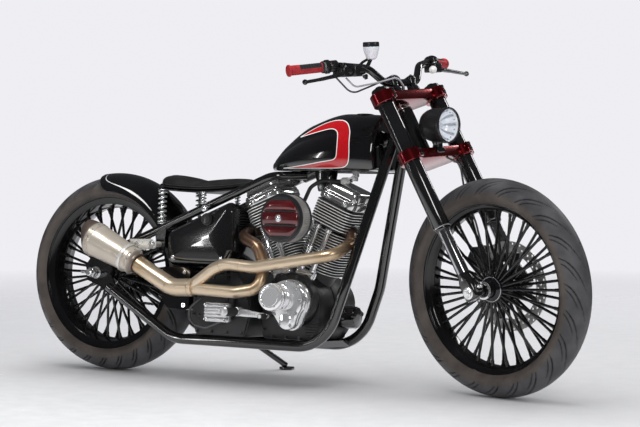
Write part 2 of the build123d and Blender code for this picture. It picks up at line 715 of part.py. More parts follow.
with BuildPart() as front_axle:
    for y0, y1, r in ((-152.5, 152.5, AXLE_F_R), (-168, -152.5, AXLE_F_R - 1), (152.5, 168, AXLE_F_R - 1), (-112, -84.3, 16), (84.3, 112, 16)):
        with BuildSketch(Plane.XZ.offset(-y1)):
            Circle(r)
        extrude(amount=y1 - y0)
done(front_axle, "front_axle", "fork")

with BuildPart() as fork_legs:
    for side in (-1, 1):
        with BuildSketch(Plane.XY.offset(40)):
            with Locations((0, FORK_Y * side)):
                Circle(FORK_INNER_R)
        extrude(amount=195)
        with BuildSketch(Plane.XY.offset(-24)):
            with Locations((0, FORK_Y * side)):
                RectangleRounded(54, 40, 12)
        extrude(amount=72)
    add(front_axle.part, mode=Mode.SUBTRACT)
done(fork_legs, "fork_legs", "fork")

for label, (a0, a1) in (("lower_yoke", LOW_YOKE), ("top_yoke", TOP_YOKE)):
    with BuildPart() as yoke:
        with BuildSketch(Plane.XY.offset(a0)):
            with BuildLine():
                Polyline((24, -FORK_Y), (24, FORK_Y), (-22, FORK_Y), (-FORK_OFFSET - 36, 34), (-FORK_OFFSET - 36, -34), (-22, -FORK_Y), close=True)
            make_face()
            for side in (-1, 1):
                with Locations((0, FORK_Y * side)):
                    Circle(39)
        extrude(amount=a1 - a0)
        add(fork_outer_tubes.part, mode=Mode.SUBTRACT)
        if label == "lower_yoke":
            with BuildSketch(Plane.XY.offset(a1)):
                with Locations((-FORK_OFFSET, 0)):
                    Circle(STEM_R)
            extrude(amount=TOP_YOKE[1] - a1 + 12)
            with BuildSketch(Plane.XY.offset(a1)):
                with Locations((-FORK_OFFSET, 0)):
                    Circle(26)
            extrude(amount=5)
            lower_yoke = yoke
        else:
            add(lower_yoke.part, mode=Mode.SUBTRACT)
            with BuildSketch(Plane.XY.offset(a0 - 5)):
                with Locations((-FORK_OFFSET, 0)):
                    Circle(26)
                    Circle(STEM_R, mode=Mode.SUBTRACT)
            extrude(amount=5)
            top_yoke = yoke
    done(yoke, label, "fork")

with BuildPart() as front_caliper:
    with BuildSketch(Plane.XZ.offset(-112)):
        with BuildLine():
            Polyline((-30, 78), (-84, 86), (-104, 150), (-60, 176), (-24, 150), close=True)
        make_face()
    extrude(amount=66)
    with BuildSketch(Plane.XZ.offset(-72)):
        Circle(152)
    extrude(amount=17, mode=Mode.SUBTRACT)
    with BuildSketch(Plane.XZ.offset(-140)):
        with BuildLine():
            Polyline((-16, 90), (-44, 96), (-44, 140), (-16, 146), close=True)
        make_face()
    extrude(amount=40)
    add(fork_legs.part, mode=Mode.SUBTRACT)
with BuildPart() as fcal_clean:
    add(sorted(front_caliper.part.solids(), key=lambda s: s.volume)[-1])
done(fcal_clean, "front_caliper", "fork")

# ---------------------------------------------------------------- headlight, bars and controls (drawn on the unturned machine)
LAMP_X, LAMP_Z, LAMP_R = 1338.0, 879.0, 59.0
with BuildPart() as headlight:
    with BuildSketch(Plane.XZ):
        with BuildLine():
            Polyline((LAMP_X - 104, LAMP_Z), (LAMP_X - 104, LAMP_Z + 26), (LAMP_X - 92, LAMP_Z + 44), (LAMP_X - 62, LAMP_Z + LAMP_R - 3), (LAMP_X, LAMP_Z + LAMP_R),
                     (LAMP_X, LAMP_Z + LAMP_R - 6), (LAMP_X - 12, LAMP_Z + LAMP_R - 6), (LAMP_X - 12, LAMP_Z), close=True)
        make_face()
    revolve(axis=Axis((0, 0, LAMP_Z), (1, 0, 0)))
    with BuildSketch(Plane.XY.offset(790)):                       # bracket down to the lower yoke
        with Locations((LAMP_X - 50, 0)):
            RectangleRounded(36, 40, 6)
    extrude(amount=40)
    add(fork_home * lower_yoke.part, mode=Mode.SUBTRACT)
with BuildPart() as lamp_clean:
    add(sorted(headlight.part.solids(), key=lambda s: s.volume)[-1])
done(lamp_clean, "headlight", "bars")
LENS_R = ((LAMP_R - 6) ** 2 + 81.0) / 18.0                       # dome of the glass, 9 mm high
LENS_A = atan2(LAMP_R - 6, LENS_R - 9.0)
with BuildPart() as headlight_lens:
    with BuildSketch(Plane.XZ):
        with BuildLine():
            Line((LAMP_X - 12, LAMP_Z), (LAMP_X - 12, LAMP_Z + LAMP_R - 6))
            Line((LAMP_X - 12, LAMP_Z + LAMP_R - 6), (LAMP_X - 2, LAMP_Z + LAMP_R - 6))
            ThreePointArc((LAMP_X - 2, LAMP_Z + LAMP_R - 6), (LAMP_X + 7 - LENS_R * (1 - cos(LENS_A / 2)), LAMP_Z + LENS_R * sin(LENS_A / 2)), (LAMP_X + 7, LAMP_Z))
            Line((LAMP_X + 7, LAMP_Z), (LAMP_X - 12, LAMP_Z))
        make_face()
    revolve(axis=Axis((0, 0, LAMP_Z), (1, 0, 0)))
done(headlight_lens, "headlight_lens", "bars")

BAR = [(1002, 392, 1074), (1064, 240, 1084), (1108, 130, 1072), (1140, 78, 1019)]
bar_route = [(x, -y, z) for x, y, z in BAR] + [(x, y, z) for x, y, z in reversed(BAR)]
with BuildPart() as handlebar:
    add(tube(bar_route, [70, 60, 50, 50, 60, 70], BAR_R).part)
    riser = Plane(origin=(fork_home * Pos(-5.5, 0, TOP_YOKE[1])).position, x_dir=FWD_FORK, z_dir=UP_FORK)
    for side in (-1, 1):
        with BuildSketch(riser):
            with Locations((0, 46 * side)):
                RectangleRounded(40, 30, 8)
        extrude(amount=56)
done(handlebar, "handlebar", "bars")

with BuildPart() as grips:
    for side in (-1, 1):
        a = Vector(1002, 392 * side, 1074)
        along = (Vector(1064, 240 * side, 1084) - a).normalized()
        add(rod(tuple(a - along * 5), tuple(a + along * 122), 17.0).part)
    add(handlebar.part, mode=Mode.SUBTRACT)
done(grips, "grips", "bars")

for side, label in ((-1, "brake_lever_set"), (1, "clutch_lever_set")):
    a = Vector(1002, 392 * side, 1074)
    along = (Vector(1064, 240 * side, 1084) - a).normalized()
    with BuildPart() as lever:
        add(rod(tuple(a + along * 123), tuple(a + along * 142), 23).part)               # throttle or switch drum
        add(rod(tuple(a + along * 142), tuple(a + along * 170), 19).part)               # perch clamp
        with BuildSketch(Plane.XY.offset(1046)):
            with Locations((1086, 232 * side)):
                RectangleRounded(56, 42, 8)
        extrude(amount=34)
        if side < 0:
            add(rod((1094, -236, 1064), (1128, -164, 1066), 15).part)                   # master cylinder
        add(rod((1098, 236 * side, 1057), (1104, 300 * side, 1050), 7.5).part)
        add(rod((1104, 300 * side, 1050), (1088, 408 * side, 1037), 6).part)
        with Locations((1088, 411 * side, 1037)):
            Sphere(9)
        with BuildSketch(Plane.XY.offset(1080)):                                         # mirror boss
            with Locations((1090, 232 * side)):
                Circle(11)
        extrude(amount=14)
        with BuildSketch(Plane.XY.offset(1082)):
            with Locations((1090, 232 * side)):
                Circle(5)
        extrude(amount=14, mode=Mode.SUBTRACT)
        if side < 0:
            with BuildSketch(Plane.XY.offset(1100)):
                with Locations((1126, -130)):
                    Circle(27)
            extrude(amount=58)
            add(rod((1124, -172, 1072), (1126, -138, 1103), 7).part)
        add(handlebar.part, mode=Mode.SUBTRACT)
        add(grips.part, mode=Mode.SUBTRACT)
    with BuildPart() as lever_clean:
        add(sorted(lever.part.solids(), key=lambda s: s.volume)[-1])
    done(lever_clean, label, "bars")

# brake line and cables, held along their whole run
LINES = [
    # points on the unturned machine, bend radii, radius
    ([(1052, -232, 1052), (1083, -185, 990), (1111, -92, 1020), (1146, -28, 1052), (1160, -16, 1010), (1146, -14, 955)], [40, 60, 25, 30], 3.0),
    ([(1076, -203, 1044), (1094, -180, 1012), (1150, -118, 1026), (1176, -60, 1040), (1172, -20, 1003), (1150, -18, 955)], [25, 60, 30, 30], 3.0),
]
with BuildPart() as control_lines:
    for pts, radii, r in LINES:
        add(tube(pts, radii, r).part)
    for other in (fork_home * top_yoke.part, fork_home * lower_yoke.part, fork_home * fork_outer_tubes.part, handlebar.part):
        add(other, mode=Mode.SUBTRACT)
done(control_lines, "control_lines", "bars")

# ================================================================ side stand
foot_target = v3(540.0, 306.0, 0.0)
with BuildPart() as side_stand:
    pivot = Vector(*STAND_PIVOT)
    axis_dir = Vector(*STAND_AXIS).normalized()
    ground_z = -(park * Pos(foot_target.X, foot_target.Y, 0)).position.Z / cos(radians(LEAN))
    foot = v3(foot_target.X, foot_target.Y, ground_z + 12)
    eye = Plane(origin=pivot, z_dir=axis_dir)
    with BuildSketch(eye.offset(-12.5)):
        Circle(15)
    extrude(amount=24)
    leg_start = pivot
    add(rod(tuple(leg_start), tuple(foot), 11).part)
    with BuildSketch(Plane(origin=v3(foot.X, foot.Y, foot.Z - 12), x_dir=(1, 0, 0), z_dir=(0, -sin(radians(LEAN)), cos(radians(LEAN))))):
        RectangleRounded(52, 40, 14)
    extrude(amount=9)
    with BuildSketch(eye.offset(-40)):
        Circle(6.05)
    extrude(amount=80, mode=Mode.SUBTRACT)
    with BuildSketch(Plane(origin=v3(foot.X, foot.Y, foot.Z - 12), x_dir=(1, 0, 0), z_dir=(0, -sin(radians(LEAN)), cos(radians(LEAN))))):
        Rectangle(300, 300)
    extrude(amount=-60, mode=Mode.SUBTRACT)
done(side_stand, "side_stand")

# ================================================================ place and write
for builder, label, home in finished:
    builder.part.move(home_of[home])
    builder.part.label = label
    export_step(builder.part, f"parts/{label}.step")
print("pieces", len(finished))
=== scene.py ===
import bpy, bmesh, json
import numpy as np
from math import sin, cos, tan, radians, degrees, pi, sqrt, atan2, hypot
from mathutils import Matrix, Vector

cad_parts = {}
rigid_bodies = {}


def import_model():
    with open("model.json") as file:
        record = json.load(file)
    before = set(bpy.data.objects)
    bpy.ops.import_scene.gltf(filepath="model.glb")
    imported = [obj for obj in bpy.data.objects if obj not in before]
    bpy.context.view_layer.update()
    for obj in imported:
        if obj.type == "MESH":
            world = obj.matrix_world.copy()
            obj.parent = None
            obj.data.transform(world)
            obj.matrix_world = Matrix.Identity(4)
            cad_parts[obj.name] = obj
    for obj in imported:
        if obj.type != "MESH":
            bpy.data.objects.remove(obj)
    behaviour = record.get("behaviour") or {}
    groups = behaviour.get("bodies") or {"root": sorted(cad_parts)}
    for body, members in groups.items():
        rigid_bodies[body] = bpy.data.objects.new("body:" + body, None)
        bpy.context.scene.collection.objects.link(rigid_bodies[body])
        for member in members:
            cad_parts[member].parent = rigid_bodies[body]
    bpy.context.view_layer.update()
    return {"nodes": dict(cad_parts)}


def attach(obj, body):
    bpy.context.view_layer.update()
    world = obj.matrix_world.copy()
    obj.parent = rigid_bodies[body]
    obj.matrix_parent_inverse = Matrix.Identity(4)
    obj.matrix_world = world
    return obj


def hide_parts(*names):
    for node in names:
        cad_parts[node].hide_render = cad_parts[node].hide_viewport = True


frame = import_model()
NODES = frame["nodes"]

# ------------------------------------------------------------------ placing, as the model is placed (mm)
WHEELBASE, RAKE, FORK_OFFSET, STEER_REST, LEAN = 1519.4, 29.36, 51.3, -13.84, 4.0
FRONT_R, FRONT_CROWN, REAR_R, REAR_CROWN = 354.5, 61.3, 346.5, 92.7
ORIGIN_X, ORIGIN_Y = 759.794, 69.956
FORK_Y = 132.5
LOW_YOKE, TOP_YOKE = (470.0, 510.0), (687.0, 727.0)
CX, CZ, V_HALF = 795.0, 265.0, 22.5


def T(x, y, z):
    m = np.eye(4); m[:3, 3] = (x, y, z); return m


def R(axis, deg):
    return np.array(Matrix.Rotation(radians(deg), 4, axis))


c_r, s_r = cos(radians(RAKE)), sin(radians(RAKE))
FWD, UP = np.array([c_r, 0, s_r]), np.array([-s_r, 0, c_r])
FORK_HOME = np.eye(4); FORK_HOME[:3, 0] = FWD; FORK_HOME[:3, 1] = (0, 1, 0); FORK_HOME[:3, 2] = UP; FORK_HOME[:3, 3] = (WHEELBASE, 0, FRONT_R)
TURN = FORK_HOME @ T(-FORK_OFFSET, 0, 0) @ R("Z", STEER_REST) @ T(FORK_OFFSET, 0, 0) @ np.linalg.inv(FORK_HOME)
REAR_HOME = T(0, 0, REAR_R)
LEAN_M = R("X", -LEAN)


def lowest(home, ring_r, crown_r):
    side = home[:3, 1]
    return home[0, 3], home[2, 3] - ring_r * sqrt(1 - side[2] ** 2) - crown_r


x_f, z_f = lowest(LEAN_M @ TURN @ FORK_HOME, FRONT_R - FRONT_CROWN, FRONT_CROWN)
x_r, z_r = lowest(LEAN_M @ REAR_HOME, REAR_R - REAR_CROWN, REAR_CROWN)
PITCH = R("Y", degrees(atan2(z_f - z_r, x_f - x_r)))
_, z_low = lowest(PITCH @ LEAN_M @ REAR_HOME, REAR_R - REAR_CROWN, REAR_CROWN)
PARK = T(-ORIGIN_X, -ORIGIN_Y, -z_low) @ PITCH @ LEAN_M
HOME = {"bike": PARK, "fork": PARK @ TURN @ FORK_HOME, "bars": PARK @ TURN, "rear": PARK @ REAR_HOME, "world": np.eye(4)}


# ------------------------------------------------------------------ mesh helpers: every shape is (V, F), mm
def vf(V, F):
    return np.asarray(V, float).reshape(-1, 3), [tuple(int(i) for i in f) for f in F]


def join(*shapes):
    V, F, k = [], [], 0
    for v, f in shapes:
        V.append(v); F += [tuple(i + k for i in g) for g in f]; k += len(v)
    return np.concatenate(V), F


def xf(shape, m):
    V, F = shape
    return V @ m[:3, :3].T + m[:3, 3], F


def frame_at(p, z, x=None):
    """Matrix whose Z runs along z, at p."""
    z = np.asarray(z, float); z = z / np.linalg.norm(z)
    if x is None:
        x = (0, 1, 0) if abs(z[1]) < 0.9 else (1, 0, 0)
    x = np.asarray(x, float); x = x - z * (x @ z); x /= np.linalg.norm(x)
    m = np.eye(4); m[:3, 0] = x; m[:3, 1] = np.cross(z, x); m[:3, 2] = z; m[:3, 3] = p
    return m


def grid_faces(n, m, wrap_n=True, wrap_m=True):
    F = []
    for i in range(n if wrap_n else n - 1):
        a, b = i * m, ((i + 1) % n) * m
        for j in range(m if wrap_m else m - 1):
            k = (j + 1) % m
            F.append((a + j, a + k, b + k, b + j))
    return F


def lathe(profile, n=64, closed=True):
    """Closed (r, h) outline turned about Z."""
    P = np.asarray(profile, float); m = len(P)
    a = np.arange(n) * 2 * pi / n
    V = np.zeros((n, m, 3))
    V[:, :, 0] = np.cos(a)[:, None] * P[:, 0]; V[:, :, 1] = np.sin(a)[:, None] * P[:, 0]; V[:, :, 2] = P[:, 1]
    return V.reshape(-1, 3), grid_faces(n, m, True, closed)


def turned(profile, n=48):
    """Solid turned part: (r, h) from the axis at the bottom to the axis at the top, about Z."""
    P = np.asarray(profile, float); m = len(P)
    a = np.arange(n) * 2 * pi / n
    V = np.zeros((n, m, 3))
    V[:, :, 0] = np.cos(a)[:, None] * P[:, 0]; V[:, :, 1] = np.sin(a)[:, None] * P[:, 0]; V[:, :, 2] = P[:, 1]
    F = grid_faces(n, m, True, False)
    V = V.reshape(-1, 3)
    F.append(tuple(i * m for i in range(n))[::-1]); F.append(tuple(i * m + m - 1 for i in range(n)))
    return V, F


WHEEL = np.array([[1, 0, 0, 0], [0, 0, 1, 0], [0, 1, 0, 0], [0, 0, 0, 1.0]])   # lathe axis Z -> wheel axis Y


def rpath(points, radii=None, seg=8):
    """Straight runs joined by tangent arcs, sampled."""
    P = [np.asarray(p, float) for p in points]
    out = [P[0]]
    for i in range(1, len(P) - 1):
        r = radii if np.isscalar(radii) else (radii[i - 1] if radii is not None else 0)
        a, b = P[i - 1] - P[i], P[i + 1] - P[i]
        la, lb = np.linalg.norm(a), np.linalg.norm(b); a /= la; b /= lb
        th = np.arccos(np.clip(a @ b, -1, 1))
        if r <= 0 or pi - th < 1e-3 or th < 1e-3:
            out.append(P[i]); continue
        d = min(r / tan(th / 2), la * 0.49, lb * 0.49); r = d * tan(th / 2)
        s, e = P[i] + a * d, P[i] + b * d
        c = P[i] + (a + b) / np.linalg.norm(a + b) * (r / sin(th / 2))
        u, w = s - c, e - c
        ang = pi - th
        for k in range(seg + 1):
            t = k / seg
            out.append(c + (sin((1 - t) * ang) * u + sin(t * ang) * w) / sin(ang))
    out.append(P[-1])
    return np.array(out)


def sweep(path, section, caps=True, scale=None, up=None):
    """Closed 2-D section carried along a path without twist."""
    P = np.asarray(path, float); S = np.asarray(section, float); n, m = len(P), len(S)
    t = np.gradient(P, axis=0); t /= np.linalg.norm(t, axis=1)[:, None]
    ref = np.array(up if up is not None else ((0, 0, 1) if abs(t[0][2]) < 0.9 else (1, 0, 0)), float)
    x = ref - t[0] * (ref @ t[0]); x /= np.linalg.norm(x)
    V = np.zeros((n, m, 3))
    for i in range(n):
        x = x - t[i] * (x @ t[i]); x /= np.linalg.norm(x)
        y = np.cross(t[i], x)
        k = 1.0 if scale is None else scale[i]
        V[i] = P[i] + (S[:, :1] * x + S[:, 1:] * y) * k
    F = grid_faces(n, m, False, True)
    if caps:
        F.append(tuple(range(m))[::-1]); F.append(tuple((n - 1) * m + j for j in range(m)))
    return V.reshape(-1, 3), F


def ring(r, n=16):
    a = np.arange(n) * 2 * pi / n
    return np.stack([np.cos(a) * r, np.sin(a) * r], 1)


def tube(points, radii, r, n=16, seg=8, scale=None):
    return sweep(rpath(points, radii, seg), ring(r, n), scale=scale)


def rod(a, b, r, n=16, bevel=0.0, r2=None):
    a, b = np.asarray(a, float), np.asarray(b, float); h = np.linalg.norm(b - a); r2 = r if r2 is None else r2
    prof = [(r - bevel, 0), (r, bevel), (r2, h - bevel), (r2 - bevel, h)] if bevel else [(r, 0), (r2, h)]
    return xf(turned(prof, n), frame_at(a, b - a))


def loft(sections, caps=True):
    S = [np.asarray(s, float) for s in sections]; m = len(S[0])
    F = grid_faces(len(S), m, False, True)
    if caps:
        F.append(tuple(range(m))[::-1]); F.append(tuple((len(S) - 1) * m + j for j in range(m)))
    return np.concatenate(S), F


def rrect(w, h, r, seg=5, cx=0.0, cy=0.0):
    """Rounded rectangle outline."""
    out = []
    for qx, qy, a0 in ((1, 1, 0), (-1, 1, 90), (-1, -1, 180), (1, -1, 270)):
        for k in range(seg + 1):
            a = radians(a0 + 90 * k / seg)
            out.append((cx + qx * (w / 2 - r) + r * cos(a), cy + qy * (h / 2 - r) + r * sin(a)))
    return np.array(out)


def rounded_poly(pts, r, seg=5):
    """Outline with rounded corners, in 2-D."""
    P = np.array([(x, y, 0) for x, y in pts], float); n = len(P); out = []
    for i in range(n):
        rr = r if np.isscalar(r) else r[i]
        p = rpath([P[i - 1] * 0.5 + P[i] * 0.5, P[i], P[(i + 1) % n] * 0.5 + P[i] * 0.5], rr, seg)
        out += [tuple(q[:2]) for q in p[1:-1]]
    return np.array(out)


def inset2(outline, d):
    """Outline moved inwards by d (anticlockwise outline)."""
    P = np.asarray(outline, float)
    area = 0.5 * np.sum(P[:, 0] * np.roll(P[:, 1], -1) - np.roll(P[:, 0], -1) * P[:, 1])
    t = np.roll(P, -1, 0) - np.roll(P, 1, 0); t /= np.linalg.norm(t, axis=1)[:, None] + 1e-9
    nrm = np.stack([-t[:, 1], t[:, 0]], 1) * (1 if area > 0 else -1)
    return P + nrm * d


def slab(outline, z0, z1, bevel=1.5, m=None):
    """Plate with softened edges: outline in XY, from z0 to z1."""
    o = np.asarray(outline, float); b = min(bevel, abs(z1 - z0) * 0.45)
    sgn = 1 if z1 > z0 else -1
    sec = []
    for ins, z in ((b, z0), (b * 0.3, z0 + sgn * b * 0.3), (0, z0 + sgn * b), (0, z1 - sgn * b), (b * 0.3, z1 - sgn * b * 0.3), (b, z1)):
        q = inset2(o, ins) if ins else o
        sec.append(np.column_stack([q, np.full(len(q), z)]))
    s = loft(sec)
    return s if m is None else xf(s, m)


XZ = np.array([[1, 0, 0, 0], [0, 0, -1, 0], [0, 1, 0, 0], [0, 0, 0, 1.0]])     # sketch XY -> bike X, Z; depth towards -Y


def side_slab(outline_xz, y0, y1, bevel=1.5):
    """Plate drawn in X and Z between y0 and y1."""
    return slab(outline_xz, -y0, -y1, bevel, XZ)


def hexr(a, r):
    return r * cos(pi / 6) / np.cos((a % (pi / 3)) - pi / 6)


def bolt(p, axis, r=5.0, h=6.0, kind="socket", washer=True):
    """Cap screw, dome nut or hex head, on a washer; axis points out."""
    n = 18; a = np.arange(n) * 2 * pi / n
    parts = []
    if washer:
        parts.append(turned([(r * 1.45, -1.0), (r * 1.5, -0.6), (r * 1.5, 0.7), (r * 1.4, 1.1)], n))
    rows = []
    if kind == "socket":
        rows = [(r, 0, 0), (r, h * .8, 0), (r * .9, h, 0), (r * .62, h, 1), (r * .58, h * .45, 1)]
    elif kind == "hex":
        rows = [(r, 0, 1), (r, h * .82, 1), (r * .84, h, 0)]
    else:
        rows = [(r, 0, 1), (r, h * .5, 1), (r * .86, h * .55, 0), (r * .74, h * .9, 0), (r * .4, h * 1.15, 0)]
    V = np.concatenate([np.column_stack([(hexr(a, q) if hx else q) * np.cos(a), (hexr(a, q) if hx else q) * np.sin(a), np.full(n, z)]) for q, z, hx in rows])
    F = grid_faces(len(rows), n, False, True)
    F.append(tuple(range(n))[::-1]); F.append(tuple((len(rows) - 1) * n + j for j in range(n)))
    parts.append((V, F))
    return xf(join(*parts), frame_at(p, axis))


def helix(p0, p1, r, wire, turns, n=10, per=18, ends=0.8):
    """Coil spring between two points with closed end turns."""
    p0, p1 = np.asarray(p0, float), np.asarray(p1, float); h = np.linalg.norm(p1 - p0)
    k = int(turns * per); t = np.linspace(0, 1, k)
    a = t * turns * 2 * pi
    e = ends / turns
    z = np.interp(t, [0, e, 1 - e, 1], [wire, wire * 2.2, h - wire * 2.2, h - wire])
    path = np.column_stack([np.cos(a) * r, np.sin(a) * r, z])
    return xf(sweep(path, ring(wire, n)), frame_at(p0, p1 - p0))


def bezel_ring(r, t, n=64, k=12):
    """Torus about Z."""
    a = np.arange(k) * 2 * pi / k
    return lathe([(r + t * cos(q), t * sin(q)) for q in a], n)


def smooth_curve(xs, ys, x):
    """Monotone-ish cubic through the table points."""
    xs, ys = np.asarray(xs, float), np.asarray(ys, float)
    d = np.diff(ys) / np.diff(xs)
    m = np.zeros(len(xs)); m[1:-1] = np.where(d[1:] * d[:-1] > 0, 2 * d[1:] * d[:-1] / (d[1:] + d[:-1] + 1e-12), 0); m[0], m[-1] = d[0], d[-1]
    i = np.clip(np.searchsorted(xs, x) - 1, 0, len(xs) - 2); h = xs[i + 1] - xs[i]; t = (x - xs[i]) / h
    return (2 * t**3 - 3 * t**2 + 1) * ys[i] + (t**3 - 2 * t**2 + t) * h * m[i] + (-2 * t**3 + 3 * t**2) * ys[i + 1] + (t**3 - t**2) * h * m[i + 1]


def sstep(a, b, x):
    t = np.clip((x - a) / (b - a), 0, 1); return t * t * (3 - 2 * t)


def piece(name, shape, home, body, mat, angle=38, replaces=(), attrs=None, subdiv=0, bevel=0.0, fix=True):
    V, F = shape
    m = HOME[home]
    W = (V @ m[:3, :3].T + m[:3, 3]) / 1000.0
    me = bpy.data.meshes.new(name)
    me.from_pydata(W.tolist(), [], F)
    me.validate()
    if fix or bevel:
        bm = bmesh.new(); bm.from_mesh(me)
        bmesh.ops.recalc_face_normals(bm, faces=bm.faces)
        if bevel:
            ed = [e for e in bm.edges if len(e.link_faces) == 2 and e.calc_face_angle(0) > radians(35)]
            bmesh.ops.bevel(bm, geom=ed, offset=bevel / 1000, segments=2, affect="EDGES", clamp_overlap=True)
        bm.to_mesh(me); bm.free()
    for k, a in (attrs or {}).items():
        at = me.attributes.new(k, "FLOAT", "POINT"); at.data.foreach_set("value", np.asarray(a, np.float32))
    me.polygons.foreach_set("use_smooth", [True] * len(me.polygons))
    me.set_sharp_from_angle(angle=radians(angle))
    ob = bpy.data.objects.new(name, me)
    bpy.context.scene.collection.objects.link(ob)
    mats = mat if isinstance(mat, (list, tuple)) else [mat]
    for x in mats:
        me.materials.append(x)
    if subdiv:
        md = ob.modifiers.new("soft", "SUBSURF"); md.levels = md.render_levels = subdiv
    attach(ob, body)
    if replaces:
        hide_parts(*([replaces] if isinstance(replaces, str) else replaces))
    return ob


# ------------------------------------------------------------------ materials
class Mat:
    """A node material built up in a few calls."""

    def __init__(self, name, **sockets):
        self.m = bpy.data.materials.new(name); self.m.use_nodes = True
        self.t = self.m.node_tree; self.b = self.t.nodes["Principled BSDF"]
        self.co = self.t.nodes.new("ShaderNodeTexCoord")
        for k, v in sockets.items():
            self.b.inputs[k.replace("_", " ")].default_value = (*v, 1.0) if isinstance(v, tuple) and len(v) == 3 else v

    def node(self, kind, **kw):
        n = self.t.nodes.new(kind)
        for k, v in kw.items():
            if k in n.inputs: n.inputs[k].default_value = v
            else: setattr(n, k, v)
        return n

    def link(self, a, b):
        self.t.links.new(a, b)

    def noise(self, scale, detail=4.0, rough=0.55, stretch=None, kind="ShaderNodeTexNoise"):
        n = self.node(kind); n.inputs["Scale"].default_value = scale
        if "Detail" in n.inputs: n.inputs["Detail"].default_value = detail
        if "Roughness" in n.inputs: n.inputs["Roughness"].default_value = rough
        src = self.co.outputs["Object"]
        if stretch:
            mp = self.node("ShaderNodeMapping"); mp.inputs["Scale"].default_value = stretch
            self.link(src, mp.inputs["Vector"]); src = mp.outputs["Vector"]
        self.link(src, n.inputs["Vector"])
        return n.outputs["Distance"] if kind == "ShaderNodeTexVoronoi" else n.outputs[0]

    def ramp(self, fac, stops, smooth=True):
        r = self.node("ShaderNodeValToRGB"); e = r.color_ramp.elements
        r.color_ramp.interpolation = "EASE" if smooth else "LINEAR"
        while len(e) > 1: e.remove(e[-1])
        for i, (p, c) in enumerate(stops):
            x = e[0] if i == 0 else e.new(p)
            x.position = p; x.color = (*c, 1.0) if len(c) == 3 else c
        self.link(fac, r.inputs["Fac"])
        return r.outputs["Color"]

    def grey(self, fac, lo, hi, a=0.0, b=1.0):
        n = self.node("ShaderNodeMapRange"); n.inputs["From Min"].default_value = a; n.inputs["From Max"].default_value = b
        n.inputs["To Min"].default_value = lo; n.inputs["To Max"].default_value = hi
        self.link(fac, n.inputs["Value"]); return n.outputs["Result"]

    def mix(self, fac, a, b):
        n = self.node("ShaderNodeMix", data_type="RGBA")
        self.link(fac, n.inputs["Factor"])
        for s, v in (("A", a), ("B", b)):
            sock = [i for i in n.inputs if i.name == s and i.type == "RGBA"][0]
            if isinstance(v, tuple): sock.default_value = (*v, 1.0)
            else: self.link(v, sock)
        return [o for o in n.outputs if o.type == "RGBA"][0]

    def attr(self, name):
        return self.node("ShaderNodeAttribute", attribute_name=name).outputs["Fac"]

    def math(self, op, a, b=0.0):
        n = self.node("ShaderNodeMath", operation=op)
        for i, v in enumerate((a, b)):
            if isinstance(v, (int, float)): n.inputs[i].default_value = v
            else: self.link(v, n.inputs[i])
        return n.outputs[0]

    def color(self, c): self.link(c, self.b.inputs["Base Color"]); return self

    def rough(self, r): self.link(r, self.b.inputs["Roughness"]); return self

    def metal(self, r): self.link(r, self.b.inputs["Metallic"]); return self

    def bump(self, h, strength=0.3, dist=0.001, coat=False):
        n = self.node("ShaderNodeBump"); n.inputs["Strength"].default_value = strength; n.inputs["Distance"].default_value = dist
        self.link(h, n.inputs["Height"]); self.link(n.outputs["Normal"], self.b.inputs["Normal"])
        return self


def gloss_paint(name, base, rough=0.10, dust=0.10, peel=0.04, coat=1.0, spec=0.5):
    """Enamel with a faint orange peel, dust and colour drift under a clear coat."""
    m = Mat(name, Coat_Weight=coat, Coat_Roughness=0.035, Specular_IOR_Level=spec)
    big = m.noise(5.0, 3); fine = m.noise(420, 3)
    hi = tuple(min(1, v * 1.5 + 0.0015) for v in base)
    m.color(m.ramp(big, [(0.3, base), (0.72, hi)]))
    m.rough(m.grey(fine, rough, rough + dust, 0.35, 0.8))
    m.bump(m.noise(900, 2), peel, 0.0004)
    return m.m


def metal(name, base, rough=0.2, spread=0.12, scale=60, stretch=None, dark=0.6, bump=0.06, aniso=0.0, coat=0.0, met=1.0):
    """Bare or plated metal with brushed or cast variation."""
    m = Mat(name, Metallic=met, Anisotropic=aniso, Coat_Weight=coat)
    n1 = m.noise(scale, 5, 0.6, stretch); n2 = m.noise(7.0, 3)
    c1 = m.ramp(n2, [(0.25, tuple(v * dark for v in base)), (0.7, base)])
    m.color(m.mix(m.grey(n1, 0.0, 0.35, 0.4, 0.75), c1, tuple(v * dark for v in base)))
    m.rough(m.grey(n1, rough, rough + spread, 0.3, 0.75))
    m.bump(n1, bump, 0.0005)
    return m.m


def cast_black(name, base=(0.009, 0.009, 0.0097), rough=0.34, bump=0.35):
    """Wrinkled engine enamel."""
    m = Mat(name, Specular_IOR_Level=0.5)
    v = m.noise(650, 2, kind="ShaderNodeTexVoronoi"); n = m.noise(9, 4)
    m.color(m.ramp(n, [(0.3, base), (0.75, tuple(x * 2.0 + 0.002 for x in base))]))
    m.rough(m.grey(n, rough, rough + 0.16, 0.3, 0.8))
    m.bump(v, bump, 0.0006)
    return m.m


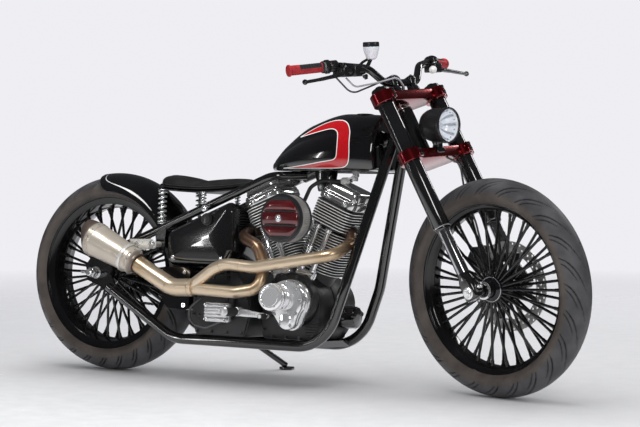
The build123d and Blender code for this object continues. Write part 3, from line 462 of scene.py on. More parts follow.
BLACK = gloss_paint("black_enamel", (0.0034, 0.0034, 0.0038))
RIM = gloss_paint("rim_enamel", (0.0032, 0.0032, 0.0037), rough=0.09, dust=0.08, coat=0.35, spec=0.28)
SATIN = gloss_paint("satin_black", (0.009, 0.009, 0.0098), rough=0.33, dust=0.15, coat=0.15)
CAST = cast_black("engine_enamel")
CHROME = metal("chrome", (0.78, 0.79, 0.80), 0.05, 0.06, 30, dark=0.86, bump=0.015, met=0.86)
STEEL = metal("zinc_steel", (0.56, 0.56, 0.57), 0.22, 0.15, 220, dark=0.7, met=0.8)
ALLOY = metal("machined_alloy", (0.70, 0.70, 0.71), 0.19, 0.14, 300, (1, 1, 14), 0.75, met=0.72)
DARK_STEEL = metal("dark_steel", (0.10, 0.10, 0.105), 0.28, 0.16, 160, dark=0.55)
POLISHED = metal("polished_alloy", (0.80, 0.80, 0.81), 0.07, 0.07, 40, dark=0.9, bump=0.02, met=0.74)
BLACK_CHROME = metal("black_chrome", (0.56, 0.555, 0.55), 0.07, 0.07, 40, dark=0.8, bump=0.015, met=0.9)

# ------------------------------------------------------------------ camera, floor and lights
cam_data = bpy.data.cameras.new("camera"); cam_data.lens = 2031.705 / 640 * 36.0; cam_data.sensor_width = 36.0
cam = bpy.data.objects.new("camera", cam_data); bpy.context.scene.collection.objects.link(cam)
YAW, PIT = 0.5354723, -0.0453944
cam.location = (4.350861 - ORIGIN_X / 1000, -5.882817 - ORIGIN_Y / 1000, 0.890079 - z_low / 1000)
fwd = Vector((-sin(YAW) * cos(PIT), cos(YAW) * cos(PIT), sin(PIT)))
cam.rotation_mode = "QUATERNION"; cam.rotation_quaternion = fwd.to_track_quat("-Z", "Y")
cam_data.clip_end = 200
bpy.context.scene.camera = cam
bpy.context.scene.view_settings.view_transform = "Standard"
bpy.context.scene.view_settings.look = "None"


def make_floor():
    n, rings = 96, [0, 1, 2, 3, 4.5, 6, 8, 11, 15, 20]
    V = [(0, 0, 0)]; F = []
    for r in rings[1:]:
        V += [(r * cos(2 * pi * k / n), r * sin(2 * pi * k / n), 0) for k in range(n)]
    F += [(0, 1 + k, 1 + (k + 1) % n) for k in range(n)]
    for i in range(len(rings) - 2):
        a, b = 1 + i * n, 1 + (i + 1) * n
        F += [(a + k, b + k, b + (k + 1) % n, a + (k + 1) % n) for k in range(n)]
    me = bpy.data.meshes.new("floor"); me.from_pydata([(x, y, -0.0006) for x, y, _ in V], [], F)
    ob = bpy.data.objects.new("floor", me); bpy.context.scene.collection.objects.link(ob)
    m = Mat("floor_paint", Specular_IOR_Level=0.40)
    big = m.noise(0.5, 4); fine = m.noise(14, 5)
    m.rough(m.grey(fine, 0.20, 0.30))
    sep = m.node("ShaderNodeSeparateXYZ"); m.link(m.co.outputs["Object"], sep.inputs[0])
    # painted light: towards -Y, in front of the bike, the floor colour turns from grey to near white, a pool of light
    # painted into it
    front_painted_light = m.grey(sep.outputs["Y"], 1.0, 0.0, -1.1, -0.25)
    m.color(m.mix(front_painted_light, m.mix(m.grey(fine, 0, 0.25, 0.35, 0.8), m.ramp(big, [(0.3, (0.74, 0.735, 0.745)), (0.7, (0.78, 0.775, 0.79))]), (0.71, 0.705, 0.715)), m.ramp(fine, [(0.3, (0.955, 0.955, 0.96)), (0.7, (0.985, 0.985, 0.985))])))
    # the edge of the floor fades into the studio
    ln = m.node("ShaderNodeVectorMath", operation="LENGTH"); m.link(m.co.outputs["Object"], ln.inputs[0])
    fade = m.grey(ln.outputs["Value"], 1.0, 0.0, 1.9, 5.5)
    m.link(fade, m.b.inputs["Alpha"])
    me.materials.append(m.m)


make_floor()
world = bpy.data.worlds.new("studio"); bpy.context.scene.world = world; world.use_nodes = True
wt = world.node_tree; bg = wt.nodes["Background"]; out = wt.nodes["World Output"]
bg2 = wt.nodes.new("ShaderNodeBackground"); lp = wt.nodes.new("ShaderNodeLightPath"); mx = wt.nodes.new("ShaderNodeMixShader")
bg.inputs["Color"].default_value = (0.95, 0.97, 1.0, 1); bg.inputs["Strength"].default_value = 0.68
bg2.inputs["Color"].default_value = (0.862, 0.857, 0.895, 1); bg2.inputs["Strength"].default_value = 1.0
bg3 = wt.nodes.new("ShaderNodeBackground"); mx2 = wt.nodes.new("ShaderNodeMixShader")            # darker room for mirror-like reflections
bg3.inputs["Color"].default_value = (0.92, 0.95, 1.0, 1); bg3.inputs["Strength"].default_value = 0.06
wt.links.new(lp.outputs["Is Glossy Ray"], mx2.inputs[0]); wt.links.new(bg.outputs[0], mx2.inputs[1]); wt.links.new(bg3.outputs[0], mx2.inputs[2])
wt.links.new(lp.outputs["Is Camera Ray"], mx.inputs[0]); wt.links.new(mx2.outputs[0], mx.inputs[1]); wt.links.new(bg2.outputs[0], mx.inputs[2])
wt.links.new(mx.outputs[0], out.inputs["Surface"])


def area(name, at, to, size, power, color=(1, 1, 1), mirror=True):
    d = bpy.data.lights.new(name, "AREA"); d.shape = "RECTANGLE"; d.size, d.size_y = size; d.energy = power; d.color = color
    o = bpy.data.objects.new(name, d); bpy.context.scene.collection.objects.link(o)
    o.location = at; o.rotation_mode = "QUATERNION"; o.rotation_quaternion = (Vector(to) - Vector(at)).to_track_quat("-Z", "Y")
    o.visible_camera = False; o.visible_glossy = mirror
    return o


area("top_box", (-0.2, -0.3, 3.6), (0, 0, 0.3), (4.6, 3.0), 122, mirror=False)
key_box = area("key_box", (-0.4, -2.3, 3.2), (0, 0, 0.5), (1.8, 0.8), 90)
area("front_box", (3.4, -3.2, 2.4), (0.2, 0, 0.5), (0.7, 1.6), 42, (1.0, 0.98, 0.96))
side_strip = area("side_strip", (-2.87, -3.93, 1.0), (-0.2, 0, 0.5), (0.09, 1.5), 10)
area("rear_box", (-1.2, 4.0, 2.4), (0, 0, 0.5), (4.0, 2.0), 60, (0.97, 0.98, 1.0), mirror=False)
area("rear_strip", (1.6, 3.4, 2.6), (0.2, 0, 0.6), (0.4, 1.8), 26)

# ------------------------------------------------------------------ wheels
RUBBER = Mat("tyre_rubber", Specular_IOR_Level=0.42)
_side = RUBBER.attr("side"); _groove_painted_shade = RUBBER.attr("groove")
_n = RUBBER.noise(14, 5); _f = RUBBER.noise(260, 4)
_tread = RUBBER.ramp(_n, [(0.3, (0.040, 0.040, 0.043)), (0.7, (0.072, 0.071, 0.076))])
_wall = RUBBER.ramp(_n, [(0.3, (0.048, 0.039, 0.034)), (0.7, (0.084, 0.069, 0.060))])
_c = RUBBER.mix(_side, _tread, _wall)
# painted shade: the tread grooves are coloured near black, much darker than the rubber beside them
RUBBER.color(RUBBER.mix(_groove_painted_shade, _c, (0.004, 0.004, 0.0045)))
RUBBER.rough(RUBBER.grey(_f, 0.46, 0.68, 0.3, 0.8))
RUBBER.bump(_f, 0.25, 0.0006)
RUBBER = RUBBER.m


def tyre(name, r_out, r_crown, a_sh, r_bead, w_bead, home, body, node, pattern, nseg):
    r_ring = r_out - r_crown; a_max = radians(a_sh)
    sh = np.array([r_ring + r_crown * cos(a_max), r_crown * sin(a_max)]); be = np.array([r_bead, w_bead])
    mid = np.array([(sh[0] + r_bead) / 2, max(sh[1], w_bead) * 0.5 + w_bead * 0.5 + 6.0])
    # side wall through three points, with two low ribs and a bead ring
    q = np.linspace(0, 1, 22)[1:]
    wall = np.array([(1 - t) * (1 - 2 * t) * sh + 4 * t * (1 - t) * mid + t * (2 * t - 1) * be for t in q])
    wall[:, 1] += 0.9 * np.exp(-((q - 0.20) / 0.035) ** 2) + 0.7 * np.exp(-((q - 0.62) / 0.03) ** 2) - 0.8 * np.exp(-((q - 0.9) / 0.04) ** 2)
    nc = 62
    ph = np.linspace(-a_max, a_max, nc)
    crown = np.stack([r_ring + r_crown * np.cos(ph), r_crown * np.sin(ph)], 1)
    prof = np.concatenate([wall[::-1] * (1, -1), crown, wall])
    m = len(prof); th = np.arange(nseg) * 2 * pi / nseg
    tv = np.concatenate([np.full(len(q), -9.0), ph / a_max, np.full(len(q), 9.0)])
    TH, TV = np.meshgrid(th, tv, indexing="ij")
    depth = np.zeros_like(TH)
    for n_rep, side_sign, phase, t0, t1, sweep_a, curve, width in pattern:
        t = TV * side_sign
        u = np.clip((t - t0) / (t1 - t0), 0, 1)
        line = sweep_a * (u + curve * np.sin(u * pi))
        k = ((TH - line) * n_rep / (2 * pi) + phase) % 1.0
        d = np.abs(k - 0.5) * 2 * pi * r_out / n_rep
        w = width * np.sin(np.clip((t - t0) / (t1 - t0), 0.0, 1.0) * pi) ** 0.5 * ((t > t0) & (t < t1))
        depth = np.maximum(depth, sstep(0.0, 1.6, w - d))
    nrm = np.concatenate([np.zeros((len(q), 2)), np.stack([np.cos(ph), np.sin(ph)], 1), np.zeros((len(q), 2))])
    rr = prof[None, :, 0] - nrm[None, :, 0] * depth * 4.2; yy = prof[None, :, 1] - nrm[None, :, 1] * depth * 4.2
    yy = np.broadcast_to(yy, rr.shape)
    V = np.stack([rr * np.cos(TH), yy, rr * np.sin(TH)], 2).reshape(-1, 3)
    side = np.broadcast_to(np.concatenate([np.ones(len(q)), sstep(0.80, 1.0, np.abs(ph / a_max)), np.ones(len(q))]), rr.shape)
    return piece(name, (V, grid_faces(nseg, m, True, True)), home, body, RUBBER, angle=60, replaces=node,
                 attrs={"side": side.ravel(), "groove": depth.ravel()}, fix=False)


# columns: repeats, side, phase, from, to (share of the half tread), sweep in radians, curve, half width in mm
FRONT_TREAD = [(24, 1, 0.0, 0.05, 0.98, 0.40, 0.16, 3.8), (24, -1, 0.5, 0.05, 0.98, 0.40, 0.16, 3.8),
               (24, 1, 0.5, 0.42, 0.99, 0.22, 0.10, 3.2), (24, -1, 0.0, 0.42, 0.99, 0.22, 0.10, 3.2)]
REAR_TREAD = [(28, 1, 0.0, 0.10, 0.99, 0.30, 0.10, 4.0), (28, -1, 0.5, 0.10, 0.99, 0.30, 0.10, 4.0),
              (28, 1, 0.5, 0.50, 1.0, 0.15, 0.05, 3.4), (28, -1, 0.0, 0.50, 1.0, 0.15, 0.05, 3.4)]
NSEG = 760
tyre("front_tyre_tread", FRONT_R, FRONT_CROWN, 80.0, 276.0, 43.0, "fork", "front_wheel", "front_tyre", FRONT_TREAD, NSEG)
tyre("rear_tyre_tread", REAR_R, REAR_CROWN, 60.0, 272.0, 66.0, "rear", "rear_wheel", "rear_tyre", REAR_TREAD, NSEG)


def rim(name, r_bead, w, r_fl, r_well, home, body, node):
    """Deep stepped rim: rolled lip, two ledges, dished barrel and a raised nipple band."""
    h = []
    for a in np.linspace(-60, 200, 9):                                             # rolled lip
        h.append((r_fl - 2.5 + 2.8 * cos(radians(a - 90)) * -1, w + 2.6 + 2.8 * sin(radians(a - 90)) * -1))
    lip = [(r_fl - 1.5, w + 0.6), (r_fl + 1.2, w + 1.2), (r_fl + 2.0, w + 3.0), (r_fl + 1.2, w + 4.8), (r_fl - 1.2, w + 5.2), (r_fl - 3.6, w + 4.6), (r_fl - 5.0, w + 3.0)]
    ledge = [(r_fl - 7.4, w + 0.8), (r_fl - 8.0, w - 0.8), (r_fl - 8.8, w - 3.2), (r_fl - 11.6, w - 4.0), (r_fl - 12.6, w - 5.0), (r_fl - 13.2, w - 8.0), (r_fl - 14.6, w - 9.4)]
    barrel = [(r_well + 9.5, w - 14.0), (r_well + 6.0, w * 0.62), (r_well + 3.0, w * 0.45), (r_well + 1.0, 17.0), (r_well - 0.2, 15.0), (r_well - 1.6, 13.5), (r_well - 2.0, 11.0)]
    half = [(r_bead, w - 0.5)] + lip + ledge + barrel
    prof = half + [(r, -y) for r, y in reversed(half)]
    return piece(name, xf(lathe(prof, 200), WHEEL), home, body, RIM, angle=50, replaces=node)


rim("front_rim_dish", 276.0, 43.0, 284.0, 254.0, "fork", "front_wheel", "front_rim")
rim("rear_rim_dish", 272.0, 66.0, 281.0, 236.0, "rear", "rear_wheel", "rear_rim")

SPOKES = 52


def spokes(name, r_fl, y_fl, r_well, home, body, node):
    parts, nips = [], []
    for k in range(SPOKES):
        side = 1 if k % 2 else -1; a = 2 * pi / SPOKES * k
        d = np.array([cos(a), 0, sin(a)])
        p0 = d * (r_fl - 4) + (0, side * y_fl, 0); p1 = d * (r_well + 1) + (0, side * 8.0, 0)
        L = np.linalg.norm(p1 - p0)
        prof = [(4.9, 0), (5.4, 2), (5.4, 9), (4.8, 14), (4.7, L - 26), (4.7, L - 20), (4.7, L - 2)]
        parts.append(xf(turned(prof, 12), frame_at(p0, p1 - p0)))
        u = (p1 - p0) / L
        nips.append(xf(turned([(5.2, 0), (5.9, 0.8), (5.9, 11.5), (7.2, 12.2), (7.4, 14.0), (7.4, 18.5)], 12), frame_at(p1 - u * 20, u)))
    piece(name, join(*parts, *nips), home, body, RIM, angle=40, replaces=node)


spokes("front_spoke_set", 44.0, 30.0, 254.0, "fork", "front_wheel", "front_spokes")
spokes("rear_spoke_set", 54.0, 46.0, 236.0, "rear", "rear_wheel", "rear_spokes")


def hub(name, bore, r_hub, r_fl, y_fl, y_end, home, body, node):
    half = [(bore + 0.05, y_end), (r_hub * 0.70, y_end), (r_hub * 0.74, y_end - 1.5), (r_hub * 0.74, y_end - 9), (r_hub * 0.90, y_end - 10), (r_hub * 0.92, y_end - 12),
            (r_hub * 0.92, y_fl + 15), (r_hub + 1, y_fl + 13), (r_hub + 4, y_fl + 9.5), (r_fl - 2.5, y_fl + 7), (r_fl, y_fl + 5.5), (r_fl + 0.6, y_fl + 3), (r_fl + 0.6, y_fl - 3),
            (r_fl, y_fl - 5.5), (r_fl - 3, y_fl - 7), (r_hub + 2, y_fl - 11), (r_hub, y_fl - 14), (r_hub - 0.6, y_fl - 15), (r_hub - 0.6, 3), (r_hub + 0.6, 2)]
    prof = half + [(r, -y) for r, y in reversed(half)]
    piece(name, xf(lathe(prof, 72), WHEEL), home, body, RIM, angle=40, replaces=node)
    rings = []
    for s in (-1, 1):
        rings.append(xf(lathe([(r_hub * 0.74 + 0.3, -2), (r_hub * 0.98, -2), (r_hub * 0.98, 0.6), (r_hub * 0.95, 1.2), (r_hub * 0.78, 1.2), (r_hub * 0.74 + 0.3, 0.4)], 56), T(0, s * (y_end - 9.5), 0) @ WHEEL))
        rings.append(xf(bezel_ring(r_fl - 4.5, 1.3, 72, 8), T(0, s * (y_fl + 6.6), 0) @ WHEEL))
    piece(name + "_rings", join(*rings), home, body, CHROME)


hub("front_hub_body", 10.0, 30.0, 44.0, 30.0, 84.0, "fork", "front_wheel", "front_hub")
hub("rear_hub_body", 12.0, 34.0, 54.0, 46.0, 104.0, "rear", "rear_wheel", "rear_hub")


def drilled_disc(r_in, r_out, y, t, rows, per, hole, n_sub=5):
    """Flat ring with rows of drilled holes, each hole cut in its own polar cell."""
    V, F = [], []
    edges = np.linspace(r_in, r_out, rows + 1)
    k_ang = per * n_sub
    quads = []
    for i in range(rows):
        r0, r1 = edges[i], edges[i + 1]; rc = (r0 + r1) / 2
        for j in range(per):
            a0 = 2 * pi / per * (j + 0.5 * (i % 2)); a1 = a0 + 2 * pi / per; ac = (a0 + a1) / 2
            cell = []
            for s in range(n_sub): cell.append((r0, a0 + (a1 - a0) * s / n_sub))
            for s in range(3): cell.append((r0 + (r1 - r0) * s / 3, a1))
            for s in range(n_sub): cell.append((r1, a1 - (a1 - a0) * s / n_sub))
            for s in range(3): cell.append((r1 - (r1 - r0) * s / 3, a0))
            out_p = np.array([(r * cos(a), r * sin(a)) for r, a in cell])
            c = np.array([rc * cos(ac), rc * sin(ac)])
            d = out_p - c
            hp = c + d / np.linalg.norm(d, axis=1)[:, None] * hole
            quads.append((out_p, hp))
    for out_p, hp in quads:
        m = len(out_p); b = len(V)
        for z in (y, y + t):
            V += [(p[0], z, p[1]) for p in out_p] + [(p[0], z, p[1]) for p in hp]
        for s in range(m):
            q = (s + 1) % m
            F.append((b + s, b + q, b + m + q, b + m + s)); F.append((b + 2 * m + s, b + 3 * m + s, b + 3 * m + q, b + 2 * m + q))
            F.append((b + m + s, b + m + q, b + 3 * m + q, b + 3 * m + s))
    # inner and outer walls
    for r, flip in ((r_in, 1), (r_out, 0)):
        n = per * n_sub * 2; b = len(V); a = np.arange(n) * 2 * pi / n
        V += [(r * cos(x), y, r * sin(x)) for x in a] + [(r * cos(x), y + t, r * sin(x)) for x in a]
        F += [(b + s, b + (s + 1) % n, b + n + (s + 1) % n, b + n + s) if not flip else (b + s, b + n + s, b + n + (s + 1) % n, b + (s + 1) % n) for s in range(n)]
    return np.array(V, float), F


def carrier(r_a, r_b, y, t, arms, w, twist=0.0):
    """Spider between hub and ring."""
    parts = [xf(lathe([(r_a, y), (r_a + 9, y), (r_a + 9, y + t), (r_a, y + t)], 60), WHEEL)]
    for k in range(arms):
        a = 2 * pi * k / arms
        o = rounded_poly([(r_a + 4, -w), (r_b, -w * 0.6 + twist), (r_b + 3, w * 0.6 + twist), (r_a + 4, w)], 2.5, 3)
        parts.append(xf(slab(o, y, y + t, 1.0, np.array([[1, 0, 0, 0], [0, 0, 1, 0], [0, -1, 0, 0], [0, 0, 0, 1.0]])), R("Y", degrees(a))))
    return join(*parts)


DISC = metal("disc_steel", (0.46, 0.45, 0.44), 0.26, 0.14, 180, dark=0.72, met=0.75)
piece("front_disc_drilled", drilled_disc(108, 146, 61.2, 4.6, 3, 30, 3.9), "fork", "front_wheel", DISC, angle=30, replaces="front_disc")
piece("front_disc_spider", carrier(30.6, 114, 60.4, 6.0, 8, 11, 9), "fork", "front_wheel", SATIN)


def dress(node, mat, slot=None):
    """Material on a piece that stays as it was modelled."""
    ob = bpy.data.objects[node]
    ob.data.materials.clear(); ob.data.materials.append(mat)
    return ob


def bead(p, axis, r, t=2.2, n=40):
    """Weld bead round a tube, with the ripples of a stacked weld."""
    a = np.arange(n * 2) * 2 * pi / (n * 2); k = 8
    V = []
    for i, q in enumerate(a):
        tt = t * (1.0 + 0.18 * cos(i * pi))
        V += [((r + tt * 0.6 * cos(w)) * cos(q), (r + tt * 0.6 * cos(w)) * sin(q), tt * sin(w)) for w in np.arange(k) * 2 * pi / k]
    return xf((np.array(V), grid_faces(n * 2, k, True, True)), frame_at(p, axis))


# ------------------------------------------------------------------ frame
for node in ("backbone", "loop_right", "loop_left", "upper_stays", "axle_plates", "crossmembers"):
    dress(node, BLACK)
axis_foot = np.array([WHEELBASE, 0, FRONT_R]) - FWD * FORK_OFFSET
neck = [axis_foot + UP * a for a in (516.0, 681.0)]
welds = [bead((72, s * 122, 286.5), (285, 0, -167), 18.2) for s in (-1, 1)] + [bead((64, s * 121, 423), (672, -s * 22, 292), 14.8) for s in (-1, 1)]
welds += [bead(np.array([1138, s * 35, 846]), (129, -s * 88, 526), 18.4, 2.6) for s in (-1, 1)] + [bead((1150, 0, 852), (397, 0, 156), 22.4, 2.8)]
welds += [xf(bezel_ring(33.2, 1.6, 60, 8), frame_at(neck[0] + UP * 3, UP)), xf(bezel_ring(33.2, 1.6, 60, 8), frame_at(neck[1] - UP * 3, UP))]
piece("frame_welds", join(*welds), "bike", "frame", BLACK)
cups = [lathe([(18, -4), (31, -4), (32, -3), (32, 0.5), (18, 0.5)], 56)]
piece("neck_cups", join(xf(cups[0], frame_at(neck[0], UP)), xf(cups[0], frame_at(neck[1] + UP * 3.6, UP))), "bike", "frame", CHROME)

# rear axle: shaft, spacers, collars, hex nuts and the two chain adjusters
shaft = [(0.5, -178), (9, -178), (12, -175), (12, 175), (9, 178), (0.5, 178)]
ax = [xf(turned(shaft, 40), WHEEL)]
for s in (-1, 1):
    for y0, y1, r in ((104.4, 116.8, 19.0), (127.2, 134, 21.0), (134, 150, 17.0)):
        ax.append(xf(turned([(r - 1, y0), (r, y0 + 1), (r, y1 - 1), (r - 1, y1)], 40), WHEEL @ np.diag([1, 1, float(s), 1])))
    ax.append(bolt((0, s * 150, 0), (0, s, 0), 19.0, 13.0, "hex", False))
    ax.append(xf(turned([(13, 0), (13.5, 1), (13.5, 8), (11.5, 11), (6, 13.5)], 36), frame_at((0, s * 163, 0), (0, s, 0))))
piece("rear_axle_shaft", join(*ax), "rear", "frame", CHROME, replaces="rear_axle")
adj = []
for s in (-1, 1):
    adj.append(rod((-66, s * 122, 346.5), (-20, s * 122, 346.5), 4.0, 14, 0.6))
    adj.append(bolt((-64, s * 122, 346.5), (-1, 0, 0), 6.5, 6.0, "hex", False)); adj.append(bolt((-50, s * 122, 346.5), (-1, 0, 0), 7.0, 5.0, "hex", False))
    for p in ((34, 418), (74, 424), (70, 282)): adj.append(bolt((p[0], s * 127.4, p[1]), (0, s, 0), 4.6, 4.5))
piece("axle_adjusters", join(*adj), "bike", "frame", STEEL)

# ------------------------------------------------------------------ tank
TANK = np.array([(652, 722, 742, 752, 16, 22, 14), (716, 722, 776, 812, 70, 80, 54), (820, 722, 822, 881, 104, 118, 84),
                 (950, 722, 850, 916, 112, 128, 96), (1086, 722, 852, 912, 84, 96, 74)], float)
BAND_OUT = [(780, 831), (812, 846), (838, 861), (873, 877), (911, 889), (943, 892), (964, 888), (980, 878), (990, 864), (1000, 840), (1006, 812), (1010, 782), (1008, 755), (1003, 742),
            (994, 734), (980, 729.5), (937, 728), (856, 727), (790, 726.5), (721, 726)]
BAND_IN = [(777, 730), (843, 738), (902, 748), (940, 753), (955, 756), (964, 763), (967, 775), (966, 805), (961, 830), (952, 848), (941, 857), (928, 861), (913, 860.5), (872, 852), (819, 840)]


def arc3(p, q, s, n):
    (ax, ay), (bx, by), (cx_, cy_) = p, q, s
    d = 2 * (ax * (by - cy_) + bx * (cy_ - ay) + cx_ * (ay - by))
    ux = ((ax * ax + ay * ay) * (by - cy_) + (bx * bx + by * by) * (cy_ - ay) + (cx_ * cx_ + cy_ * cy_) * (ay - by)) / d
    uy = ((ax * ax + ay * ay) * (cx_ - bx) + (bx * bx + by * by) * (ax - cx_) + (cx_ * cx_ + cy_ * cy_) * (bx - ax)) / d
    r = hypot(ax - ux, ay - uy); a0, a1, am = atan2(ay - uy, ax - ux), atan2(cy_ - uy, cx_ - ux), atan2(by - uy, bx - ux)
    un = lambda a, b: (a - b) % (2 * pi)
    span = un(a1, a0) if un(am, a0) < un(a1, a0) else un(a1, a0) - 2 * pi
    return np.array([(ux + r * cos(a0 + span * t), uy + r * sin(a0 + span * t)) for t in np.linspace(0, 1, n)])


def poly_sd(P, poly):
    """Signed distance to a closed outline, positive inside."""
    A = np.asarray(poly, float); B = np.roll(A, -1, 0)
    best = np.full(len(P), 1e9); inside = np.zeros(len(P), bool)
    for a, b in zip(A, B):
        d = b - a; t = np.clip(((P - a) @ d) / (d @ d), 0, 1)
        best = np.minimum(best, np.linalg.norm(P - a - t[:, None] * d, axis=1))
        hit = ((a[1] > P[:, 1]) != (b[1] > P[:, 1])) & (P[:, 0] < (b[0] - a[0]) * (P[:, 1] - a[1]) / (b[1] - a[1] + 1e-12) + a[0])
        inside ^= hit
    return np.where(inside, best, -best)


def chaikin(pts, n=2, closed=True):
    P = np.asarray(pts, float)
    for _ in range(n):
        Q = np.roll(P, -1, 0)
        P = np.stack([P * 0.75 + Q * 0.25, P * 0.25 + Q * 0.75], 1).reshape(-1, 2)
    return P


def tank_shape():
    xs = np.concatenate([np.linspace(655, 664, 6)[:-1], np.linspace(664, 1068, 150)[:-1], 1068 + 18 * np.sin(np.linspace(0, pi / 2, 9))])
    rows = []
    for x in xs:
        zb, zs, zt, wb, wm, ws = [float(smooth_curve(TANK[:, 0], TANK[:, k], np.array([x]))[0]) for k in range(1, 7)]
        zm = zb + 0.45 * (zs - zb)
        side = arc3((wb, zb), (wm, zm), (ws, zs), 52); top = arc3((ws, zs), (0, zt), (-ws, zs), 60)
        tw = min(24.0, wb * 0.7); tun = max(zb, 728 + (x - 768) * 0.393) if x > 768 else zb
        skin = np.concatenate([np.linspace((tw, zb), (wb, zb), 10)[:-1], side, top[1:-1], (side * (-1, 1))[::-1], np.linspace((-wb, zb), (-tw, zb), 10)[1:]])
        for _ in range(7):
            skin[1:-1] = skin[1:-1] * 0.5 + (skin[:-2] + skin[2:]) * 0.25
        sec = np.concatenate([skin, [(-tw, tun), (tw, tun)]])
        k = 1.0
        if x > 1068: k = 1 - 0.13 * (1 - sqrt(max(0.0, 1 - ((x - 1068) / 18) ** 2)))
        if x < 664: k = 0.25 + 0.75 * sqrt(max(0.0, 1 - ((664 - x) / 9) ** 2))
        zc = (zb + zt) / 2
        sec[:len(skin)] = (sec[:len(skin)] - (0, zc)) * k + (0, zc)
        rows.append(np.column_stack([np.full(len(sec), x), sec]))
    return loft(rows)


tank = tank_shape()
band = chaikin(BAND_OUT + BAND_IN, 2)
sd = poly_sd(tank[0][:, [0, 2]], band)
sd = np.where(np.abs(tank[0][:, 1]) < 30, -20.0, sd)
TANK_PAINT = Mat("tank_enamel", Coat_Weight=1.0, Coat_Roughness=0.025, Specular_IOR_Level=0.5)
_d = TANK_PAINT.attr("band"); _n = TANK_PAINT.noise(6, 3); _flake = TANK_PAINT.noise(1400, 2, kind="ShaderNodeTexVoronoi")
_black = TANK_PAINT.ramp(_n, [(0.3, (0.0022, 0.0022, 0.0026)), (0.7, (0.0048, 0.0048, 0.0054))])
_red = TANK_PAINT.ramp(_flake, [(0.1, (0.62, 0.010, 0.014)), (0.6, (0.42, 0.004, 0.008))])
_white = TANK_PAINT.ramp(_n, [(0.3, (0.78, 0.77, 0.75)), (0.7, (0.86, 0.85, 0.83))])
_in = TANK_PAINT.grey(_d, 0, 1, 1.1, 1.5); _edge = TANK_PAINT.grey(TANK_PAINT.math("ABSOLUTE", _d), 1, 0, 1.1, 1.5)
TANK_PAINT.color(TANK_PAINT.mix(_edge, TANK_PAINT.mix(_in, _black, _red), _white))
TANK_PAINT.rough(TANK_PAINT.grey(TANK_PAINT.noise(380, 3), 0.09, 0.17, 0.35, 0.8))
TANK_PAINT.bump(TANK_PAINT.noise(700, 2), 0.03, 0.0004)
TANK_PAINT = TANK_PAINT.m
piece("tank_shell", tank, "bike", "frame", TANK_PAINT, angle=50, replaces="fuel_tank", attrs={"band": sd})
cap_at = (1000, 0, 914.0)
cap = [(1, -8), (27, -8), (29, -4), (29, 0), (28, 1.6), (24, 2.4), (23, 1.6), (22, 2.6), (8, 3.4), (1, 3.6)]
piece("filler_cap", xf(turned(cap, 56), frame_at(cap_at, (-0.012, 0, 1))), "bike", "frame", BLACK)
seam = [np.array([(x, s * (float(smooth_curve(TANK[:, 0], TANK[:, 4], np.array([x]))[0]) - 1.0), 721.6) for x in np.linspace(690, 1070, 60)]) for s in (-1, 1)]
piece("tank_seam", join(*[sweep(p, ring(2.0, 8)) for p in seam]), "bike", "frame", BLACK)

HOSE_RUBBER = gloss_paint("hose_rubber", (0.007, 0.007, 0.0076), rough=0.42, dust=0.18, coat=0.0)
pet = [xf(turned([(7, -34), (8, -33), (8, -22), (11, -20), (11, -8), (14, -6), (14, 0)], 28), T(1006, -60, 722)),
       rod((1006, -60, 699), (1006, -82, 699), 6, 18, 1.0), rod((1006, -84, 699), (990, -84, 694), 3.2, 10, 0.6), rod((1006, -60, 696), (990, -60, 690), 4.2, 14, 0.5)]
piece("petcock", join(*pet), "bike", "frame", ALLOY)
piece("fuel_hose", tube([(992, -60, 690), (940, -66, 686), (890, -84, 690), (858, -104, 664), (836, -118, 600)], [60, 60, 40], 6.6, 16), "bike", "frame", HOSE_RUBBER)
CLEAR = Mat("clear_plastic", Transmission_Weight=0.55, IOR=1.45, Specular_IOR_Level=0.5)
CLEAR.color(CLEAR.ramp(CLEAR.noise(40, 3), [(0.3, (0.72, 0.72, 0.70)), (0.7, (0.86, 0.86, 0.84))])); CLEAR.rough(CLEAR.grey(CLEAR.noise(200, 3), 0.08, 0.2)); CLEAR = CLEAR.m
piece("inline_filter", xf(turned([(6.8, -20), (7, -15), (11, -11), (12, -9), (12, 9), (11, 11), (7, 15), (6.8, 20)], 28), frame_at((968, -63, 688), (1, 0.05, 0.03))), "bike", "frame", CLEAR)
mount = [side_slab(rounded_poly([(828, 730), (884, 730), (872, 652), (846, 652)], 6), y, y + 6, 1.2) for y in (-34, 28)] + [rod((860, -30, 668), (860, 30, 668), 9, 20)]
piece("top_engine_mount", join(*mount), "bike", "frame", BLACK)
piece("top_mount_bolts", join(bolt((858, -34, 668), (0, -1, 0), 6, 6, "hex"), bolt((858, 34, 668), (0, 1, 0), 6, 6, "hex")), "bike", "frame", STEEL)

# ------------------------------------------------------------------ saddle: swollen by a short cloth run inside scene.py
LEATHER = Mat("saddle_leather", Specular_IOR_Level=0.45)
_g = LEATHER.noise(330, 2, kind="ShaderNodeTexVoronoi"); _w = LEATHER.noise(12, 5); _f = LEATHER.noise(900, 3)
LEATHER.color(LEATHER.ramp(_w, [(0.3, (0.009, 0.0088, 0.0092)), (0.72, (0.021, 0.0205, 0.021))]))
LEATHER.rough(LEATHER.grey(_g, 0.36, 0.56, 0.0, 0.7))
LEATHER.bump(LEATHER.math("ADD", LEATHER.math("MULTIPLY", _g, 0.7), LEATHER.math("MULTIPLY", _f, 0.3)), 0.35, 0.0007)
LEATHER = LEATHER.m


def seat_half(x):
    e = np.interp(x, [300, 480, 575], [117, 77, 45])
    if x < 300: e = max(0.0, 118.0 ** 2 - (x - 318) ** 2) ** 0.5
    if x > 575: e = max(0.0, 48.0 ** 2 - (x - 560) ** 2) ** 0.5
    return e


